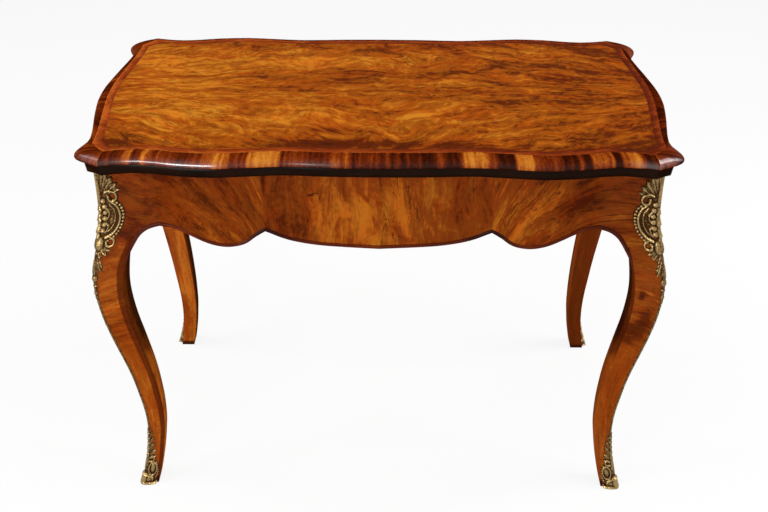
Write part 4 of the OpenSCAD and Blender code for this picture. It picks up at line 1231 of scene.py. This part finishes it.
SABOT = (
    ((0, 20, 34, 48, 60, 76, 100, 128), (21, 20, 17, 13, 9, 7, 4.5, 3)),
    1.4,
    {
        leaf: [
            ((2, 52), (15, 62), 4, 3.8), ((1, 60), (14, 76), 4.5, 4), ((0, 74), (11, 92), 4, 3.4),
            ((0, 88), (9, 106), 3.6, 3), ((0, 102), (6.5, 120), 3, 2.6),
        ],
        strand: [
            ([(0, 2.5), (12, 2.5), (21, 5)], (3.4, 2.6), 10), ([(0, 21), (0, 12), (0, 4)], (2.6, 2.6), 9),
            ([(0, 20), (7, 18), (13, 13), (14, 7)], (2.2, 2), 8.4), (oval, (1.9, 1.9), 5.6),
            ([(3, 49), (9, 50), (12, 56), (8, 61), (4, 58)], (1.8, 2.2), 4.6),
            ([(0, 30), (0, 70), (0, 128)], (3.4, 1.6), 3),
        ],
        bead_row: [
            ([(19, 14), (21, 24), (20, 36), (16, 47)], 5, 1.9, 3.6),
            ([(0, 56), (0, 90), (0, 116)], 12, 3, 3.8),
        ],
        dome: [((0, 5), (22, 16), 6), ((11, 33), (6, 12), 4)],
    },
)
# Thin rod up the arris, with a few small knots near its top
STRIP_Z = (127, KNEE_Z - 1)
STRIP = (
    ((0,), (0,)),
    0.0,
    {
        strand: [([(0, STRIP_Z[0]), (0, sum(STRIP_Z) / 2), (0, STRIP_Z[1])], (2.3, 2.3), 1.4)],
        bead_row: [([(0, STRIP_Z[1] - drop) for drop in (60, 34, 9)], 16, 2.4, 2.2)],
    },
)


def relief(w, v, web, ground, parts):
    """Height of a mount: the highest of its web and its parts at each point."""
    heights = [shape(w, v, *values) for shape, rows in parts.items() for values in rows]
    return np.max([np.where(w < np.interp(v, *web), ground, 0.0), *heights], axis=0)


def softened(height, times):
    """Relief blurred by taking each point with its four neighbours, over and over."""
    for _ in range(times):
        padded = np.pad(height, 1, mode="edge")
        height = (height + padded[:-2, 1:-1] + padded[2:, 1:-1] + padded[1:-1, :-2] + padded[1:-1, 2:]) / 5
    return height


def mount_grid(z, along, wing, columns, mount):
    """Casting bent round a leg's arris: columns over both faces, rows up the leg, and a back in the wood.

    Where the relief is bare, its face is sunk too, and the wood shows through the openwork. Nothing stands
    out past the top's width. Also gives how bright each point is: more so where it stands over the rest, and
    less in the hollows, as painted light and shade.
    """
    z = z[:, None]
    w = wing[:, None] * np.linspace(-1, 1, columns)
    height = relief(np.abs(w), along[:, None], *mount)
    # Painted light and shade: lighter where the relief stands over its blurred self, darker in its hollows
    bright = np.clip(0.32 + (height - softened(height, 14)) * 0.42 + np.minimum(height, 4) * 0.07, 0, 1)
    set_off = np.where(height > BARE_BELOW, MOUNT_GAP + height, -OPENWORK_SUNK)
    w = np.hstack([w, wing[:, None] * np.linspace(1, -1, BACK_COLUMNS)])
    set_off = np.pad(set_off, ((0, 0), (0, BACK_COLUMNS)), constant_values=-BACK_SUNK)
    bright = np.pad(bright, ((0, 0), (0, BACK_COLUMNS)))
    out = leg_out(z)
    set_off = np.minimum(set_off, HALF_W - WIDTH_SPARE - out)
    along_front = out - np.clip(w, 0, None)
    along_side = out - SKEW - np.clip(-w, 0, None)
    x = np.where(w >= 0, along_front, side_depth(along_side, z))
    y = np.where(w >= 0, front_depth(along_front, z), along_side)
    angle = np.pi / 4 * (1 + np.clip(w / ARRIS_TURN, -1, 1))
    return beside(x + np.cos(angle) * set_off, y + np.sin(angle) * set_off, z), bright


# Half widths of the mounts: distance along the leg, and distance from the arris
KNEE_WING = [
    (0, 13), (6, 15), (21, 27), (37, 36), (50, 30), (63, 36), (82, 39), (97, 38), (111, 32), (123, 28),
    (139, 27), (153, 16), (176, 14), (199, 8), (216, 6), (234, 5),
]
FOOT_WING = [(0, 23), (14, 23), (29, 22), (46, 20), (62, 18), (81, 15), (99, 12), (114, 9), (130, 5)]
knee_drop = np.linspace(233, 3, 270)
foot_z = np.linspace(0, 129, 150)
strip_z = np.linspace(*STRIP_Z, 300)
knee_wing = np.interp(knee_drop, *zip(*KNEE_WING))
foot_wing = np.interp(foot_z, *zip(*FOOT_WING))
mounts = {
    "knee_mount": mount_grid(RAIL_Z - knee_drop, knee_drop, knee_wing, 81, KNEE_MOUNT),
    "sabot": mount_grid(foot_z, foot_z, foot_wing, 61, SABOT),
}
strip, strip_bright = mount_grid(strip_z, strip_z, np.full(len(strip_z), STRIP_WING), 11, STRIP)
for label, flip in CORNERS.items():
    for kind, (grid, bright) in mounts.items():
        piece(
            f"{label}_{kind}_relief", [shell(grid * [*flip, 1])], "frame", gilt, [f"{label}_{kind}"], 50,
            relief=bright,
        )
strips = [shell(strip * [*flip, 1]) for flip in CORNERS.values()]
piece(
    "edge_strip_rods", strips, "frame", gilt, ["edge_strips"], 50,
    relief=np.tile(strip_bright.ravel(), len(strips)),
)


# Cloth


def lay_cloth(name, outline, low, body, node, hole=None):
    """Laid cloth with a faint nap, between an outline and a matching hole, which is a point if none is given.

    Its rings run from the outer cut edge inward over the top, then down and back underneath.
    """
    if hole is None:
        hole = outline.mean(0) + (outline - outline.mean(0)) * 0.004
    rows = []
    for share in np.linspace(0, 1, 16):
        ring = outline + (hole - outline) * share
        nap = NAP_H * np.sin(ring[:, 0] / 7.3) * np.sin(ring[:, 1] / 5.9) - NAP_H
        rows.append((ring, low + BAIZE_T + nap))
    rows += [(hole, low), (outline, low)]
    sheet = piece(name, [shell(stacked(rows), caps=False)], body, baize, [node], 50)


def oblong(low_x, high_x, low_y, high_y, middle=None, count=96):
    """Rectangle as points at even angles about a place, with its corners kept, and their directions.

    The place is its middle if none is given.
    """
    if middle is None:
        middle = ((low_x + high_x) / 2, (low_y + high_y) / 2)
    corners = np.array([(low_x, low_y), (high_x, low_y), (high_x, high_y), (low_x, high_y)], float) - middle
    angle = np.linspace(-np.pi, np.pi, count, endpoint=False)
    angle = np.sort(np.concatenate([angle, np.arctan2(*corners.T[::-1])]))
    way = beside(np.cos(angle), np.sin(angle))
    far = np.abs(np.where(way > 0, [high_x, high_y], [low_x, low_y]) - middle)
    reach = np.min(far / np.maximum(np.abs(way), 1e-9), axis=1)
    return middle + way * reach[:, None], way


SLIP_HALF_X = POST_IN_X - 5
SLIP_HALF_Y = POST_IN_Y - 4
SLIP_OUT_X = 424.0
SLIP_OUT_Y = 184.0
LINING_BOX = (-351, 79, -139, 139)
PIVOT = 110.0
PIVOT_HOLE_R = 14

baize_outline = shrunk(inner_outline, BAIZE_BORDER)
for kind, low, body in (("lower", LOWER_TOP_Z - BAIZE_T, "turning_top"), ("upper", UPPER_Z, "upper_leaf")):
    lay_cloth(f"{kind}_baize_cloth", baize_outline, low, body, f"{kind}_baize")
lining = oblong(*LINING_BOX)[0]
lay_cloth("well_lining_cloth", lining, RAIL_Z - WELL_D, "frame", "well_lining")
for label, box in (
    ("front", (-SLIP_HALF_X, SLIP_HALF_X, -SLIP_OUT_Y, SLIP_W - SLIP_OUT_Y)),
    ("back", (-SLIP_HALF_X, SLIP_HALF_X, SLIP_OUT_Y - SLIP_W, SLIP_OUT_Y)),
    ("left", (-SLIP_OUT_X, SLIP_W - SLIP_OUT_X, -SLIP_HALF_Y, SLIP_HALF_Y)),
    ("right", (SLIP_OUT_X - SLIP_W, SLIP_OUT_X, -SLIP_HALF_Y, SLIP_HALF_Y)),
):
    lay_cloth(f"{label}_slip_cloth", oblong(*box)[0], RAIL_Z, "frame", "frame_slips")
edge, way = oblong(PIVOT - 26, PIVOT + 26, -161, 161, (PIVOT, PIVOT))
lay_cloth("pivot_slip_cloth", edge, RAIL_Z, "frame", "frame_slips", PIVOT + way * PIVOT_HOLE_R)


# Solids that keep their own shape
HINGES = [f"{leaf}_hinge_{part}" for leaf in ("lower", "upper") for part in ("plates", "screws")]
for material, names in (
    (oak, ("corner_blocks", "pivot_rail", "well_floor", "well_partition", "well_battens", "stop_peg")),
    (core_wood, ("lower_leaf", "upper_leaf")),
    (inner_border, ("lower_border", "upper_border")),
    (iron, ("pivot_bolt", "pivot_washer", "pivot_nut", "pivot_plate")),
    (hinge_brass, ("hinge_pins", *HINGES)),
):
    for name in names:
        nodes[name].data.materials.clear()
        nodes[name].data.materials.append(material)


# Studio


def stand(obj, axes, place):
    """Puts an object at a place, with its axes in the columns of a table."""
    obj.matrix_world = Matrix([[*row, at] for row, at in zip(axes, place)] + [[0, 0, 0, 1]])


def lamp(name, place, target, size, power):
    """Soft rectangular lamp that faces a target."""
    data = bpy.data.lights.new(name, "AREA")
    data.shape = "RECTANGLE"
    data.size, data.size_y = size
    data.energy = power
    z = np.subtract(place, target)
    z /= np.linalg.norm(z)
    x = np.cross([0, 0, 1], z)
    x /= np.linalg.norm(x)
    stand(linked(name, data), beside(x, np.cross(z, x), z), place)


lamp("left_lamp", (-1.27, -2.5, 0.95), (-0.2, -0.2, 0.65), (1.35, 0.5), 37)
lamp("right_lamp", (2.4, 0.1, 1.3), (0.2, 0.0, 0.65), (0.8, 0.8), 20)
lamp("high_left_lamp", (-2.1, -0.2, 2.3), (0, 0, 0.6), (1.2, 1.2), 45)
lamp("high_right_lamp", (2.1, -0.2, 2.3), (0, 0, 0.6), (1.2, 1.2), 40)

WHITE = (1, 1, 1, 1)
ROOM_LIGHT = 0.22
FLOOR_GLOW = 0.88


def choice(tree, how_much, *rays):
    """Mix of two shaders: as much of the second as given, for rays of these kinds, and else the first."""
    path = add(tree, "LightPath")
    seen = path.outputs[rays[0]]
    for ray in rays[1:]:
        seen = math_node(tree, "MAXIMUM", seen, path.outputs[ray])
    return add(tree, "MixShader", i0=math_node(tree, "MULTIPLY", seen, how_much))


# The room is white to the camera and in reflections, and lights the table only faintly
world = bpy.data.worlds.new("studio")
bpy.context.scene.world = world
world.use_nodes = True
sky = world.node_tree
sky.nodes.clear()
room = add(sky, "Background", Color=WHITE, Strength=ROOM_LIGHT)
back = add(sky, "Background", Color=WHITE, Strength=1.0)
both = choice(sky, 1.0, "Is Camera Ray", "Is Glossy Ray", "Is Transmission Ray")
put(sky, both, i1=room.outputs[0], i2=back.outputs[0])
add(sky, "OutputWorld", Surface=both.outputs[0])

# Floor: pale, with the object's own shadow
floor_mesh = bpy.data.meshes.new("floor")
floor_mesh.from_pydata([(-6, -6, 0), (6, -6, 0), (6, 6, 0), (-6, 6, 0)], [], [(0, 1, 2, 3)])
floor = linked("floor", floor_mesh)
floor_paint, tree, shader = tree_of("floor_paint")
put(tree, shader, Base_Color=(0.9, 0.9, 0.9, 1), Roughness=0.9)
glow = add(tree, "Emission", Color=WHITE, Strength=1.0)
both = choice(tree, FLOOR_GLOW, "Is Camera Ray", "Is Glossy Ray")
put(tree, both, i1=shader.outputs[0], i2=glow.outputs[0])
put(tree, tree.nodes["Material Output"], Surface=both.outputs[0])
floor_mesh.materials.append(floor_paint)
floor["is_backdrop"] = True

# Camera
PITCH = math.radians(36.997)
YAW = math.radians(-0.633)
ROLL = math.radians(-0.059)
CAMERA_AT = (0.0217, -1.3765, 1.4297)
FOCAL_PIXELS = 930
FRAME_PIXELS = 768
SENSOR = 36.0
data = bpy.data.cameras.new("camera")
data.sensor_width = SENSOR
data.lens = FOCAL_PIXELS / FRAME_PIXELS * SENSOR
camera = linked("camera", data)
ahead = np.array([math.sin(YAW) * math.cos(PITCH), math.cos(YAW) * math.cos(PITCH), -math.sin(PITCH)])
right = np.array([math.cos(YAW), -math.sin(YAW), 0.0])
down = np.cross(ahead, right)
turned_right = math.cos(ROLL) * right + math.sin(ROLL) * down
turned_down = math.cos(ROLL) * down - math.sin(ROLL) * right
stand(camera, beside(turned_right, -turned_down, -ahead), CAMERA_AT)
bpy.context.scene.camera = camera
bpy.context.scene.view_settings.view_transform = "Standard"

low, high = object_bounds()
